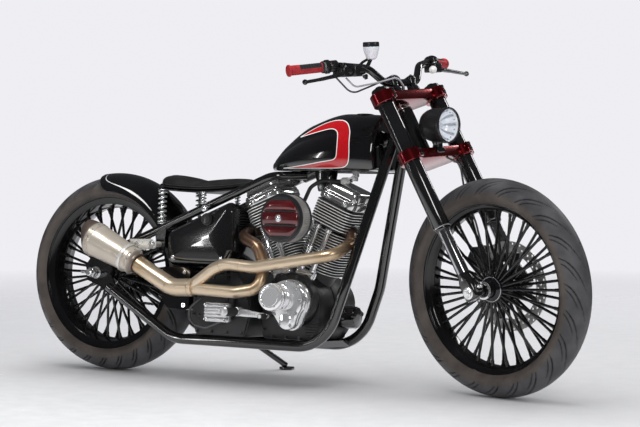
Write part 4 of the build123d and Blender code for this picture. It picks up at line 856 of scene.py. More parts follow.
SEAT_LOW = arc3((190, 662), (380, 643.5), (615, 674), 200)
SEAT_TOP = np.concatenate([[(195, 691)], arc3((372, 676), (290, 694), (225, 702), 60)[::-1], arc3((615, 690), (480, 688), (372, 676), 60)[::-1][1:]])
seat_low = lambda x: float(np.interp(x, SEAT_LOW[:, 0], SEAT_LOW[:, 1]))
seat_top = lambda x: float(np.interp(x, SEAT_TOP[:, 0], SEAT_TOP[:, 1]))


def saddle_block(shrink=3.5):
    """Slightly small pad: crowned top, tucked sides, flat underside."""
    xs = 200 + shrink + (408 - 2 * shrink) * (1 - np.cos(np.linspace(0.06, pi - 0.06, 64))) / 2
    rows = []
    for x in xs:
        w = max(3.0, seat_half(x) - shrink); z0, z1 = seat_low(x) + 0.8, seat_top(x) - shrink
        e = min(1.0, w / 60.0); z1 = z0 + (z1 - z0) * (0.45 + 0.55 * e ** 0.6)
        sec = []
        for t in np.linspace(0, 1, 40):
            y = w * cos(t * pi); c = max(0.0, 1 - abs(y / w) ** 3.2)
            sec.append((x, y, z0 + (z1 - z0) * (0.42 + 0.58 * c ** 0.55)))
        for t in np.linspace(0, 1, 24)[1:-1]:
            y = -w * cos(t * pi) * 0.985; c = max(0.0, 1 - abs(y / w) ** 6)
            sec.append((x, y, z0 + (z1 - z0) * 0.30 * (1 - c)))
        rows.append(np.array(sec))
    return loft(rows)


def swell(ob, cap_m, low_keep):
    """Voxel remesh, cloth with pressure and no gravity for 20 frames, movement capped, result applied."""
    sc = bpy.context.scene
    rm = ob.modifiers.new("remesh", "REMESH"); rm.mode = "VOXEL"; rm.voxel_size = 0.005; rm.use_smooth_shade = True
    dg = bpy.context.evaluated_depsgraph_get(); me = bpy.data.meshes.new_from_object(ob.evaluated_get(dg))
    ob.modifiers.clear(); ob.data = me
    n = len(me.vertices); start = np.zeros(n * 3, np.float32); me.vertices.foreach_get("co", start); start = start.reshape(-1, 3)
    cl = ob.modifiers.new("cloth", "CLOTH"); s = cl.settings
    s.use_pressure = True; s.uniform_pressure_force = 4.0; s.mass = 0.25; s.tension_stiffness = s.compression_stiffness = 12; s.bending_stiffness = 1.5
    s.effector_weights.gravity = 0.0; cl.collision_settings.use_collision = False; cl.collision_settings.use_self_collision = False
    sc.frame_start, sc.frame_end = 1, 20
    for f in range(1, 21):
        sc.frame_set(f)
    dg = bpy.context.evaluated_depsgraph_get(); ev = ob.evaluated_get(dg); m2 = ev.to_mesh()
    end = np.zeros(n * 3, np.float32); m2.vertices.foreach_get("co", end); end = end.reshape(-1, 3).copy(); ev.to_mesh_clear()
    ob.modifiers.clear(); sc.frame_set(1)
    mv = end - start; L = np.linalg.norm(mv, axis=1)[:, None]
    mv = mv * np.minimum(1.0, cap_m / np.maximum(L, 1e-9))
    mv *= low_keep(start)[:, None]
    me.vertices.foreach_set("co", (start + mv).ravel())
    return ob


def make_saddle():
    ob = piece("saddle_pad", saddle_block(), "bike", "frame", LEATHER, replaces="saddle")
    inv = np.linalg.inv(PARK)

    def keep(co):                                                  # the underside lies on the pan and stays put
        b = (co * 1000) @ inv[:3, :3].T + inv[:3, 3]
        low = np.array([seat_low(x) for x in b[:, 0]])
        return sstep(1.0, 9.0, b[:, 2] - low)
    swell(ob, 0.0055, keep)
    me = ob.data
    if not me.materials: me.materials.append(LEATHER)
    me.polygons.foreach_set("use_smooth", [True] * len(me.polygons))
    md = ob.modifiers.new("soft", "SUBSURF"); md.levels = md.render_levels = 1


make_saddle()
dress("seat_pan", SATIN)
edge = np.array([(x, s * seat_half(x) * 0.985, seat_low(x) + 8.0) for s, xs in ((-1, np.linspace(206, 604, 90)), (1, np.linspace(604, 206, 90))) for x in xs])
edge = np.concatenate([edge, edge[:1]])
piece("saddle_welt", sweep(edge, ring(2.3, 10), caps=False, up=(0, 0, 1)), "bike", "frame", LEATHER)
THREAD = gloss_paint("saddle_thread", (0.05, 0.048, 0.046), rough=0.6, dust=0.2, coat=0.0)
st = []
for k in range(6, len(edge) - 8):
    a, b = edge[k] * 0.93 + edge[k + 1] * 0.07, edge[k] * 0.35 + edge[k + 1] * 0.65
    if np.linalg.norm(edge[k + 1] - edge[k]) < 16: st.append(rod(a * (1, 0.965, 1) + (0, 0, 7.5), b * (1, 0.965, 1) + (0, 0, 7.5), 0.8, 6))
piece("saddle_stitches", join(*st), "bike", "frame", THREAD)

coils = []
for x, y, r, z0, z1, wire, turns in ((266, 116, 12.6, 529, 640, 3.6, 7.5), (432, 108, 8.4, 602, 634, 2.4, 4.0)):
    for s in (-1, 1):
        coils.append(helix((x, s * y, z0), (x, s * y, z1 + 4), r, wire, turns, 10, 20))
        coils.append(xf(turned([(r + 2.6, 0), (r + 3, 0.6), (r + 3, 2.4), (r + 2, 3)], 30), T(x, s * y, z0 - 2.5)))
        coils.append(xf(turned([(r + 2, 0), (r + 3, 0.6), (r + 3, 2.4), (r + 2.6, 3)], 30), T(x, s * y, z1 + 3)))
        coils.append(rod((x, s * y, z0 - 14), (x, s * y, z1 + 6), r * 0.42, 16))
piece("seat_coils", join(*coils), "bike", "frame", CHROME, replaces="seat_springs")

# ------------------------------------------------------------------ rear fender with its brush line
FR, FI = REAR_R - REAR_CROWN, REAR_CROWN + 9.0


def fender():
    t0, t1, half = -9.0, 72.0, radians(70.0)
    nt, nf = 150, 84
    rows_o, rows_i, att = [], [], []
    for th in np.linspace(t0, t1, nt):
        q = min(1.0, (th - t0) / 13.0); q2 = min(1.0, (t1 - th) / 4.0)
        lim = half * (0.20 + 0.80 * sqrt(max(0.0, 1 - (1 - q) ** 2))) * (0.9 + 0.1 * sqrt(max(0.0, 1 - (1 - q2) ** 2)))
        c, s = cos(radians(th)), sin(radians(th))
        for rows, r in ((rows_o, FI + 3.0), (rows_i, FI)):
            row = []
            for f in np.linspace(-lim, lim, nf):
                rr = FR + r * cos(f)
                row.append((rr * s, r * sin(f), rr * c + REAR_R))
            rows.append(row)
        att += [(th, f) for f in np.linspace(-lim, lim, nf)]
    O, I = np.array(rows_o), np.array(rows_i)
    V = np.concatenate([O.reshape(-1, 3), I.reshape(-1, 3)]); F = []; m = nt * nf
    for i in range(nt - 1):
        for j in range(nf - 1):
            a = i * nf + j
            F.append((a, a + 1, a + nf + 1, a + nf)); F.append((m + a, m + a + nf, m + a + nf + 1, m + a + 1))
    for i in range(nt - 1):
        for j in (0, nf - 1):
            a = i * nf + j; F.append((a, a + nf, m + a + nf, m + a))
    for j in range(nf - 1):
        for i in (0, nt - 1):
            a = i * nf + j; F.append((a, m + a, m + a + 1, a + 1))
    return (V, F), np.array(att)


shell, att = fender()
# line: along the lower edge of each side and round the rear end; thick like a brush stroke part of the way
LINE_T = np.array([-4.0, -4.6, -2.5, 3.0, 12.0, 22.0, 34.0, 46.0]); LINE_F = np.array([8.0, 28.0, 42.0, 51.0, 56.0, 58.5, 60.5, 63.0]); LINE_W = np.array([2.0, 2.4, 2.6, 3.0, 4.6, 8.5, 5.0, 1.2])
pts = np.column_stack([LINE_T, LINE_F]); fine = np.array([[float(smooth_curve(np.arange(8.0), pts[:, k], np.array([u]))[0]) for k in (0, 1)] + [float(np.interp(u, np.arange(8), LINE_W))] for u in np.linspace(0, 7, 90)])
A = np.column_stack([att[:, 0] * 355 * pi / 180, np.degrees(np.abs(att[:, 1])) * 104 * pi / 180]); L = np.column_stack([fine[:, 0] * 355 * pi / 180, fine[:, 1] * 104 * pi / 180])
dist = np.full(len(A), 50.0)
for i in range(len(L) - 1):
    d = L[i + 1] - L[i]; t = np.clip(((A - L[i]) @ d) / (d @ d + 1e-9), 0, 1)
    dist = np.minimum(dist, np.linalg.norm(A - L[i] - t[:, None] * d, axis=1) - (fine[i, 2] * (1 - t) + fine[i + 1, 2] * t) / 2)
FENDER_PAINT = Mat("fender_enamel", Coat_Weight=1.0, Coat_Roughness=0.025)
_d = FENDER_PAINT.attr("line"); _n = FENDER_PAINT.noise(6, 3)
_black = FENDER_PAINT.ramp(_n, [(0.3, (0.0022, 0.0022, 0.0026)), (0.7, (0.0048, 0.0048, 0.0054))]); _white = FENDER_PAINT.ramp(_n, [(0.3, (0.74, 0.73, 0.72)), (0.7, (0.84, 0.83, 0.82))])
FENDER_PAINT.color(FENDER_PAINT.mix(FENDER_PAINT.grey(_d, 1, 0, -0.25, 0.3), _black, _white))
FENDER_PAINT.rough(FENDER_PAINT.grey(FENDER_PAINT.noise(380, 3), 0.09, 0.17, 0.35, 0.8)); FENDER_PAINT.bump(FENDER_PAINT.noise(700, 2), 0.03, 0.0004)
FENDER_PAINT = FENDER_PAINT.m
piece("fender_shell", shell, "bike", "frame", FENDER_PAINT, angle=60, replaces="rear_fender", attrs={"line": np.concatenate([dist, np.full(len(dist), 50.0)])})

# ------------------------------------------------------------------ oil tank and battery box
def pillow(outline, y0, y1, r, steps=9):
    """Plate in X and Z with a full round on the outer face: y1 is the outer side."""
    secs = [np.column_stack([outline[:, 0], np.full(len(outline), y0), outline[:, 1]])]
    sgn = 1 if y1 > y0 else -1
    for t in np.linspace(0, 1, steps):
        a = t * pi / 2
        q = inset2(outline, r * (1 - cos(a))); secs.append(np.column_stack([q[:, 0], np.full(len(q), y1 - sgn * r * 0.62 * (1 - sin(a))), q[:, 1]]))
    return loft(secs)


def domed(outline, y0, y1, r, depth, dome, steps=10):
    """Plate in X and Z with a round of its own depth at the outer edge and a slightly domed face."""
    sgn = 1 if y1 > y0 else -1; c = outline.mean(0)
    secs = [np.column_stack([outline[:, 0], np.full(len(outline), y0), outline[:, 1]])]
    for a in np.linspace(0, pi / 2, steps):
        q = inset2(outline, r * (1 - cos(a))); secs.append(np.column_stack([q[:, 0], np.full(len(q), y1 - sgn * (dome + depth * (1 - sin(a)))), q[:, 1]]))
    for k in (0.85, 0.7, 0.55, 0.4, 0.25, 0.1):
        w = c + (q - c) * k; secs.append(np.column_stack([w[:, 0], np.full(len(w), y1 - sgn * dome * k * k), w[:, 1]]))
    return loft(secs)


lobe = rounded_poly([(302, 384), (302, 502), (552, 608), (582, 582), (582, 440), (560, 384)], [28, 34, 30, 30, 34, 30], 10)
th = np.linspace(radians(6.0), radians(23.0), 14)
core = np.array([(366 * cos(a), REAR_R + 366 * sin(a)) for a in th] + [(546, 600), (574, 574), (574, 444), (556, 386)])
tank_o = [domed(lobe, s * 106, s * 151, 28, 34, 5) for s in (-1, 1)] + [side_slab(core, -108, 108, 2.0)]
piece("oil_tank_shell", join(*tank_o), "bike", "frame", BLACK, angle=45, replaces="oil_tank")
oc = [xf(turned([(20, 0), (21, 1), (21, 5), (19, 6), (18, 12), (16, 14), (5, 14.5)], 40), frame_at((478, -149, 546), (0, -1, 0.10)))]
piece("oil_filler_cap", join(*oc), "bike", "frame", SATIN)
piece("oil_fittings", join(xf(turned([(6, 0), (7, 2), (9, 5), (9.6, 9), (9, 13), (6, 16), (2, 17.4)], 28), frame_at((466, -140, 578), (0, -0.9, 0.4)) @ np.diag([1.3, 1.3, 1.2, 1.0])),
                           bolt((338, -144, 412), (0, -1, 0), 8, 7, "dome"), bolt((536, -144, 412), (0, -1, 0), 8, 7, "dome")), "bike", "frame", CHROME)
dress("battery_box", BLACK)
bb = [bolt((x, -138.4, z), (0, -1, 0), 5, 5, "dome") for x, z in ((384, 362), (384, 248))]
piece("box_bolts", join(*bb), "bike", "frame", CHROME)

# ------------------------------------------------------------------ engine
def deck(lean):
    a = radians(lean); m = np.eye(4)
    m[:3, 0] = (cos(a), 0, -sin(a)); m[:3, 1] = (0, 1, 0); m[:3, 2] = (sin(a), 0, cos(a)); m[:3, 3] = (CX, 0, CZ)
    return m


def star(c, shapes, n=144, smooth=2):
    """Outline of a union of circles and polygons, seen from one inner point."""
    out = []
    for a in np.arange(n) * 2 * pi / n:
        d = np.array([cos(a), sin(a)]); best = 1.0
        for s in shapes:
            if len(s) == 3 and np.isscalar(s[0]):
                o = np.array(c) - s[:2]; b = o @ d; q = b * b - (o @ o - s[2] ** 2)
                if q > 0: best = max(best, -b + sqrt(q))
            else:
                P = np.asarray(s, float)
                for p, q in zip(P, np.roll(P, -1, 0)):
                    e = q - p; den = d[0] * e[1] - d[1] * e[0]
                    if abs(den) < 1e-9: continue
                    w = p - np.array(c); t = (w[0] * e[1] - w[1] * e[0]) / den; u = (w[0] * d[1] - w[1] * d[0]) / den
                    if t > 0 and 0 <= u <= 1: best = max(best, t)
        out.append(best)
    r = np.array(out)
    for _ in range(smooth): r = r * 0.5 + (np.roll(r, 1) + np.roll(r, -1)) * 0.25
    a = np.arange(n) * 2 * pi / n
    return np.column_stack([c[0] + r * np.cos(a), c[1] + r * np.sin(a)])


def around(outline, k, inset, start=0.0):
    """k points spread evenly along an outline, moved inwards."""
    P = inset2(outline, inset); Q = np.vstack([P, P[:1]]); s = np.concatenate([[0], np.cumsum(np.linalg.norm(np.diff(Q, axis=0), axis=1))])
    u = (np.arange(k) / k + start) % 1.0 * s[-1]
    return np.column_stack([np.interp(u, s, Q[:, 0]), np.interp(u, s, Q[:, 1])])


case_o = star((CX, CZ), [(CX, CZ, 114), [(CX - 100, 290), (CX - 62, 374), (CX + 62, 374), (CX + 100, 290), (CX + 118, 190), (CX + 90, 150), (CX - 110, 150), (CX - 116, 230)]])
case = [side_slab(case_o, -100, -2.5, 5.0), side_slab(case_o, 2.5, 100, 5.0), side_slab(inset2(case_o, 4), -3, 3, 0.5)]
chest_o = star((CX + 18, 284), [(CX + 18, 284, 92)])
case.append(side_slab(chest_o, -98, -140, 4.0))
for k in range(9):                                                     # casting ribs on the lower case
    z = 166 + k * 9
    case.append(side_slab(rounded_poly([(CX + 60, z), (CX + 112 - abs(k - 4) * 1.0, z), (CX + 112 - abs(k - 4), z + 3.5), (CX + 60, z + 3.5)], 1.2, 2), -103, -99, 0.8))
for s in (-1, 1):
    case.append(xf(turned([(58, 58), (60, 60), (60, 128), (66, 129), (66, 132)], 64), deck(s * V_HALF)))
piece("crankcase_halves", join(*case), "bike", "frame", CAST, angle=40, replaces="crankcase")
tap = [xf(slab(rrect(70, 30, 6, 4, 0, -84), 96, 132, 2.0), deck(s * V_HALF)) for s in (-1, 1)]
tap += [xf(slab(rrect(74, 34, 7, 4, 0, -84), 92, 97, 1.0), deck(s * V_HALF)) for s in (-1, 1)]
piece("tappet_blocks", join(*tap), "bike", "frame", POLISHED)
sc = [bolt((p[0], -100.4, p[1]), (0, -1, 0), 5, 5) for p in around(case_o, 14, 8)] + [bolt((p[0], -140.3, p[1]), (0, -1, 0), 4.6, 5) for p in around(chest_o, 12, 8, 0.03)]
sc += [bolt((p[0], 100.4, p[1]), (0, 1, 0), 5, 5) for p in around(case_o, 14, 8)]
for s in (-1, 1):
    m = deck(s * V_HALF)
    for x in (-28, 28):
        for y in (-72, -96): sc.append(xf(bolt((x, y, 131.5), (0, 0, 1), 3.2, 4), m))
piece("case_screws", join(*sc), "bike", "frame", DARK_STEEL)

cam_o = star((828, 262), [(828, 284, 70), (836, 222, 38), [(762, 262), (806, 200), (868, 206), (896, 270)]])
cam = [side_slab(cam_o, -140.2, -160, 2.0), side_slab(inset2(cam_o, 3.0), -158, -196, 7.0)]
ring_cap = [(1, -196), (40, -196), (44.5, -197), (46, -199), (46, -232), (45, -234), (43.5, -235), (44.5, -236), (45.5, -237.5), (45.5, -244), (43.5, -248), (39, -250), (33, -250), (31.5, -248.4), (30, -248.4), (28.5, -250), (1, -250)]
cam.append(xf(turned([(r, -h) for r, h in ring_cap], 72), T(803, 0, 294) @ np.diag([1, 1, 1, 1.0]) @ np.array([[1, 0, 0, 0], [0, 0, -1, 0], [0, 1, 0, 0], [0, 0, 0, 1.0]])))
cam.append(xf(turned([(20, 0), (22, 1.5), (22, 8), (19, 10.5), (7, 11.5)], 48), T(836, -194, 222) @ np.array([[1, 0, 0, 0], [0, 0, -1, 0], [0, 1, 0, 0], [0, 0, 0, 1.0]])))
piece("cam_cover_polished", join(*cam), "bike", "frame", POLISHED, angle=35, replaces="cam_cover")
cs = [bolt((p[0], -195.6, p[1]), (0, -1, 0), 4.2, 4.5) for p in around(cam_o, 9, 11, 0.05) if hypot(p[0] - 803, p[1] - 294) > 54]
cs += [bolt((803 + 36 * cos(a), -249.6, 294 + 36 * sin(a)), (0, -1, 0), 3.0, 2.2, "socket", False) for a in np.arange(5) * 2 * pi / 5 + 0.3]
piece("cam_cover_screws", join(*cs), "bike", "frame", CHROME)

prim_o = star((672, 268), [(795, 268, 98), (548, 268, 104), [(795, 170), (548, 164), (548, 372), (795, 366)]], 180)
prim = [side_slab(prim_o, 106, 116, 1.5), pillow(inset2(prim_o, 2.0), 114, 180, 22, 9)]
for x, r in ((548, 62), (795, 44)):
    prim.append(xf(turned([(r, 172), (r + 3, 174), (r + 3, 182), (r, 184), (r - 5, 184), (r - 7, 181), (r - 14, 180.5), (4, 182.5)], 72), T(x, 0, 268) @ WHEEL))
for k in range(5):
    prim.append(side_slab(rounded_poly([(636, 232 + k * 16), (724, 232 + k * 16), (724, 238 + k * 16), (636, 238 + k * 16)], 3, 4), 178, 183.5, 2.0))
piece("primary_case", join(*prim), "bike", "frame", CAST, replaces="primary_cover")
ps = [bolt((p[0], 116, p[1]), (0, 1, 0), 4.6, 5) for p in around(prim_o, 16, 5)]
ps += [bolt((548 + 56 * cos(a), 183.2, 268 + 56 * sin(a)), (0, 1, 0), 3.6, 3) for a in np.arange(5) * 2 * pi / 5]
piece("primary_screws", join(*ps), "bike", "frame", CHROME)

FIN = Mat("fin_enamel", Specular_IOR_Level=0.5)
_e = FIN.attr("edge"); _n = FIN.noise(12, 4); _s = FIN.noise(300, 4, 0.6, (1, 1, 10))
_k = FIN.ramp(_n, [(0.3, (0.006, 0.006, 0.0066)), (0.75, (0.016, 0.016, 0.017))]); _m = FIN.ramp(_s, [(0.3, (0.58, 0.57, 0.56)), (0.7, (0.84, 0.83, 0.82))])
_q = FIN.grey(_e, 0, 1, 0.45, 0.75)
FIN.color(FIN.mix(_q, _k, _m)); FIN.metal(FIN.grey(_q, 0.0, 0.45)); FIN.rough(FIN.grey(_s, 0.24, 0.40)); FIN.bump(FIN.noise(600, 2), 0.12, 0.0005); FIN = FIN.m


def fin(outline, z0, t, m, b=1.0):
    """One cooling fin with a machined edge."""
    secs = []
    for ins, z in ((b, z0), (0, z0 + b), (0, z0 + t - b), (b, z0 + t)):
        q = inset2(outline, ins) if ins else outline
        secs.append(np.column_stack([q, np.full(len(q), z)]))
    V, F = loft(secs); k = len(outline)
    return xf((V, F), m), np.concatenate([np.zeros(k), np.ones(2 * k), np.zeros(k)])


def cut_valley(o, z, lean):
    """Fins stop short of the valley between the cylinders."""
    o = o.copy(); c, s = cos(radians(lean)), sin(radians(lean))
    lim = (3.0 - z * s) / c if lean > 0 else (-3.0 - z * s) / c
    o[:, 0] = np.maximum(o[:, 0], lim) if lean > 0 else np.minimum(o[:, 0], lim)
    return o


cyl, ce, hd, he = [], [], [], []
for s in (-1, 1):
    m = deck(s * V_HALF)
    for k in range(16):
        z = 138 + 9.2 * k
        f, e = fin(cut_valley(rrect(152, 150, 60, 12), z + 2, s * V_HALF), z, 3.2, m, 0.6); cyl.append(f); ce.append(e)
    b = xf(turned([(58, 130), (58, 289)], 56), m); cyl.append(b); ce.append(np.zeros(len(b[0])))
    for k in range(8):
        f, e = fin(rrect(154, 172, 34, 10), 297 + 9.6 * k, 3.4, m, 0.6); hd.append(f); he.append(e)
    b = xf(slab(rrect(132, 150, 30, 8), 289, 375, 1.5), m); hd.append(b); he.append(np.zeros(len(b[0])))
    for y in (-1, 1):                                                   # stud bosses through the fins
        for x in (-48, 48):
            b = xf(turned([(9, 292), (9, 374)], 16), m @ T(x, y * 66, 0)); hd.append(b); he.append(np.zeros(len(b[0])))
piece("cylinder_fins", join(*cyl), "bike", "frame", FIN, angle=35, replaces="cylinders", attrs={"edge": np.concatenate(ce)})
piece("head_fins", join(*hd), "bike", "frame", FIN, angle=35, replaces="cylinder_heads", attrs={"edge": np.concatenate(he)})

rb, rs, rg = [], [], []
for s in (-1, 1):
    m = deck(s * V_HALF)
    rb.append(xf(slab(rrect(150, 156, 26, 8), 376.5, 400, 3.0), m)); rb.append(xf(slab(rrect(144, 150, 24, 8), 401.5, 408, 1.2), m))
    secs = []
    for w, h, r, z in ((134, 142, 26, 408), (134, 142, 26, 414), (130, 138, 25, 424), (125, 133, 24, 431), (118, 126, 22, 435.6), (104, 112, 20, 438.2), (70, 78, 18, 439)):
        q = rrect(w, h, r, 8); secs.append(np.column_stack([q, np.full(len(q), z)]))
    rb.append(xf(loft(secs), m)); rg.append(xf(slab(rrect(146, 152, 25, 8), 374.5, 377, 0.4), m)); rg.append(xf(slab(rrect(142, 148, 24, 8), 399.5, 402, 0.4), m))
    for x in (-60, 60):
        for y in (-62, 0, 62): rs.append(xf(bolt((x, y, 408), (0, 0, 1), 5, 6), m))
    for y in (-80, 80):
        for x in (-34, 34): rs.append(xf(bolt((x, y * 0.975, 388), (0, 1 if y > 0 else -1, 0), 7, 5, "dome"), m))
piece("rocker_boxes", join(*rb), "bike", "frame", BLACK_CHROME, angle=35)
piece("rocker_gaskets", join(*rg), "bike", "frame", SATIN)
piece("rocker_screws", join(*rs), "bike", "frame", CHROME)

pr = []
for s in (-1, 1):
    m = deck(s * V_HALF)
    for x in (-22, 22):
        prof = [(11, 132), (12, 133), (12, 141), (9, 143), (9, 196), (11.5, 198), (11.5, 214), (9, 216), (7.6, 218), (7.6, 276), (10, 278), (11, 282), (11, 290)]
        pr.append(xf(turned(prof, 28), m @ T(x, -87, 0)))
piece("pushrod_covers", join(*pr), "bike", "frame", CHROME, replaces="pushrod_tubes")

# air cleaner
DARK_RED = Mat("cover_enamel", Coat_Weight=1.0, Coat_Roughness=0.04, Metallic=0.35)
_n = DARK_RED.noise(9, 3); DARK_RED.color(DARK_RED.ramp(_n, [(0.3, (0.075, 0.005, 0.007)), (0.72, (0.14, 0.010, 0.013))]))
DARK_RED.rough(DARK_RED.grey(DARK_RED.noise(300, 3), 0.16, 0.28)); DARK_RED.bump(DARK_RED.noise(700, 2), 0.03, 0.0004); DARK_RED = DARK_RED.m
MESH = Mat("filter_gauze", Metallic=0.35)
_v = MESH.noise(700, 2, kind="ShaderNodeTexVoronoi"); _n = MESH.noise(20, 4)
MESH.color(MESH.mix(MESH.grey(_v, 1, 0, 0.2, 0.6), MESH.ramp(_n, [(0.3, (0.34, 0.33, 0.32)), (0.7, (0.50, 0.49, 0.475))]), (0.035, 0.034, 0.033)))
MESH.rough(MESH.grey(_v, 0.3, 0.6)); MESH.bump(_v, 0.7, 0.0012); MESH = MESH.m
AIRX, AIRZ = 833.0, 555.0
TO_AIR = T(AIRX, 0, AIRZ) @ np.array([[1, 0, 0, 0], [0, 0, -1, 0], [0, 1, 0, 0], [0, 0, 0, 1.0]])        # local Z points out to the right side
n = 320; a = np.arange(n) * 2 * pi / n; wave = np.abs((a / (2 * pi) * 80) % 1.0 - 0.5) * 2
pleat = np.column_stack([(79.6 - 3.4 * wave) * np.cos(a), (79.6 - 3.4 * wave) * np.sin(a)])
secs = [np.column_stack([pleat, np.full(n, z)]) for z in np.linspace(184, 238, 10)]
flt = [xf(loft(secs), TO_AIR)]
piece("filter_element", join(*flt), "bike", "frame", MESH, angle=25, replaces="air_filter")
rim_p = [xf(lathe([(60, z0), (79, z0), (81, z0 + 1), (81, z0 + 6.5), (79, z0 + 7.5), (60, z0 + 7.5)], 96), TO_AIR) for z0 in (179.5, 236.0)]
rim_p.append(xf(turned([(64, 162), (66, 164), (66, 179), (64, 180)], 72), TO_AIR))
rim_p.append(xf(turned([(66, 240), (72.5, 241), (73, 243), (73, 247), (71, 249), (40, 249.6), (1, 249.6)], 96), TO_AIR))
piece("filter_ends", join(*rim_p), "bike", "frame", SATIN)
bars_ = []
for zc, zh, top in ((42.0, 16.5, 11.0), (0.0, 21.0, 13.0), (-43.0, 16.0, 10.0)):
    rows = []
    for v in np.linspace(-1, 1, 25):
        zz = zc + zh * v; xe = sqrt(max(4.0, 70.5 ** 2 - zz ** 2)); bul = max(0.0, 1 - abs(v) ** 2.4) ** 0.6
        rows.append([(xe * u, zz, 249.4 + top * bul * max(0.0, 1 - abs(u) ** 6) ** 0.6) for u in np.sin(np.linspace(-pi / 2, pi / 2, 41))])
    rows = np.array(rows); V = rows.reshape(-1, 3); m_ = 41
    bars_.append(xf((V, grid_faces(25, m_, False, False)), TO_AIR))
piece("air_cover_bars", join(*bars_), "bike", "frame", DARK_RED, angle=50, replaces="air_cleaner_cover")
ab = [xf(bolt((0, 0, 261.5), (0, 0, 1), 8, 5.0, "dome"), TO_AIR)] + [xf(bolt((66 * cos(q), 66 * sin(q), 249.2), (0, 0, 1), 3.0, 2.6, "socket", False), TO_AIR) for q in (radians(18), radians(162), radians(198), radians(342))]
piece("air_cover_screws", join(*ab), "bike", "frame", CHROME)
carb = [side_slab(rrect(62, 82, 14, 6, CX + 8, 550), -92, -160, 4.0), side_slab(rrect(74, 30, 8, 5, CX + 8, 512), -98, -150, 4.0), rod((CX, -90, 548), (CX, 30, 548), 25, 32, 2.0),
        rod((CX - 78, 0, 540), (CX + 78, 0, 540), 22, 28, 2.0), rod((CX + 36, -126, 556), (CX + 58, -126, 556), 12, 20, 2.0)]
piece("carburettor", join(*carb), "bike", "frame", ALLOY, replaces="intake")

# gearbox
gear_o = rounded_poly([(440, 150), (640, 150), (662, 230), (650, 330), (600, 366), (450, 358), (424, 300), (418, 200)], 14, 5)
gb = [side_slab(gear_o, 86, -136, 5.0), side_slab(inset2(gear_o, 5), -134, -142, 2.0), side_slab(rrect(150, 130, 40, 8, 530, 262), -140, -162, 5.0), side_slab(rrect(112, 92, 30, 8, 530, 262), -160, -166, 2.5),
      rod((548, 80, 268), (548, 106, 268), 16, 24, 1.0)]
for k in range(6): gb.append(side_slab(rounded_poly([(452 + k * 26, 352), (458 + k * 26, 352), (462 + k * 26, 372), (450 + k * 26, 372)], 2, 3), 60, -110, 1.0))
piece("gearbox_case", join(*gb), "bike", "frame", CAST, angle=40, replaces="gearbox")
gs = [bolt((p[0], -162.3, p[1]), (0, -1, 0), 4.2, 4.5) for p in around(rrect(150, 130, 40, 8, 530, 262), 8, 9, 0.04)] + [bolt((p[0], -142.2, p[1]), (0, -1, 0), 4.6, 5) for p in around(gear_o, 12, 12)]
piece("gearbox_screws", join(*gs), "bike", "frame", DARK_STEEL)

# sprockets and roller chain
def toothed(r_root, r_tip, teeth, y0, y1, bore):
    n = teeth * 8; a = np.arange(n) * 2 * pi / n; ph = (a * teeth / (2 * pi)) % 1.0
    r = r_root + (r_tip - r_root) * sstep(0.12, 0.42, 0.5 - np.abs(ph - 0.5))
    o = np.column_stack([r * np.cos(a), r * np.sin(a)]); i_ = np.column_stack([bore * np.cos(a), bore * np.sin(a)])
    secs = [np.column_stack([i_, np.full(n, y0)]), np.column_stack([o * 0.985, np.full(n, y0)]), np.column_stack([o, np.full(n, y0 + 1.4)]), np.column_stack([o, np.full(n, y1 - 1.4)]), np.column_stack([o * 0.985, np.full(n, y1)]), np.column_stack([i_, np.full(n, y1)])]
    V, F = loft(secs, caps=False); F += [(5 * n + j, 5 * n + (j + 1) % n, (j + 1) % n, j) for j in range(n)]
    return xf((V, F), WHEEL)


spr = [toothed(93.5, 99.6, 46, 92.2, 97.8, 60.0), carrier(31.6, 64, 91.6, 6.4, 5, 14, 8)]
piece("rear_sprocket_teeth", join(*spr), "rear", "rear_wheel", DARK_STEEL, angle=30, replaces="rear_sprocket")
piece("gearbox_sprocket", xf(toothed(38.5, 44.0, 21, 92.2, 97.8, 14.0), T(548, 0, 268)), "bike", "frame", DARK_STEEL, angle=30)


def chain():
    (x0, z0, r0), (x1, z1, r1) = (0.0, REAR_R, 106.0), (548.0, 268.0, 50.0)
    d = hypot(x1 - x0, z1 - z0); base = atan2(z1 - z0, x1 - x0); sp = atan2(r0 - r1, sqrt(d * d - (r0 - r1) ** 2))
    up, dn = base + pi / 2 - sp, base - pi / 2 + sp
    P = [(x0 + r0 * cos(q), z0 + r0 * sin(q)) for q in np.linspace(up, dn + 2 * pi, 80)] + [(x1 + r1 * cos(q), z1 + r1 * sin(q)) for q in np.linspace(dn, up, 40)]
    P = np.array(P + [P[0]]); s = np.concatenate([[0], np.cumsum(np.linalg.norm(np.diff(P, axis=0), axis=1))])
    k = int(round(s[-1] / 15.875 / 2) * 2); u = np.arange(k + 1) / k * s[-1]
    X, Z = np.interp(u, s, P[:, 0]), np.interp(u, s, P[:, 1])
    parts = []
    for i in range(k):
        a, b = np.array([X[i], Z[i]]), np.array([X[i + 1], Z[i + 1]]); t = (b - a) / np.linalg.norm(b - a); nn = np.array([-t[1], t[0]])
        h = np.linalg.norm(b - a); o = []
        for q in np.linspace(-pi / 2, pi / 2, 7): o.append(b + (t * cos(q) + nn * sin(q)) * 5.2)
        o.append((a + b) / 2 + nn * 4.0)
        for q in np.linspace(pi / 2, 3 * pi / 2, 7): o.append(a + (t * cos(q) + nn * sin(q)) * 5.2)
        o.append((a + b) / 2 - nn * 4.0)
        o = np.array(o)
        for y in ((92.1, 93.5), (96.5, 97.9)) if i % 2 else ((93.5, 94.6), (95.4, 96.5)): parts.append(side_slab(o, y[0], y[1], 0.35))
        parts.append(xf(turned([(3.4, 91.8), (3.4, 98.2)], 10), T(X[i], 0, Z[i]) @ WHEEL))
    return join(*parts)


piece("roller_chain", chain(), "bike", "frame", DARK_STEEL, angle=30, replaces="drive_chain")

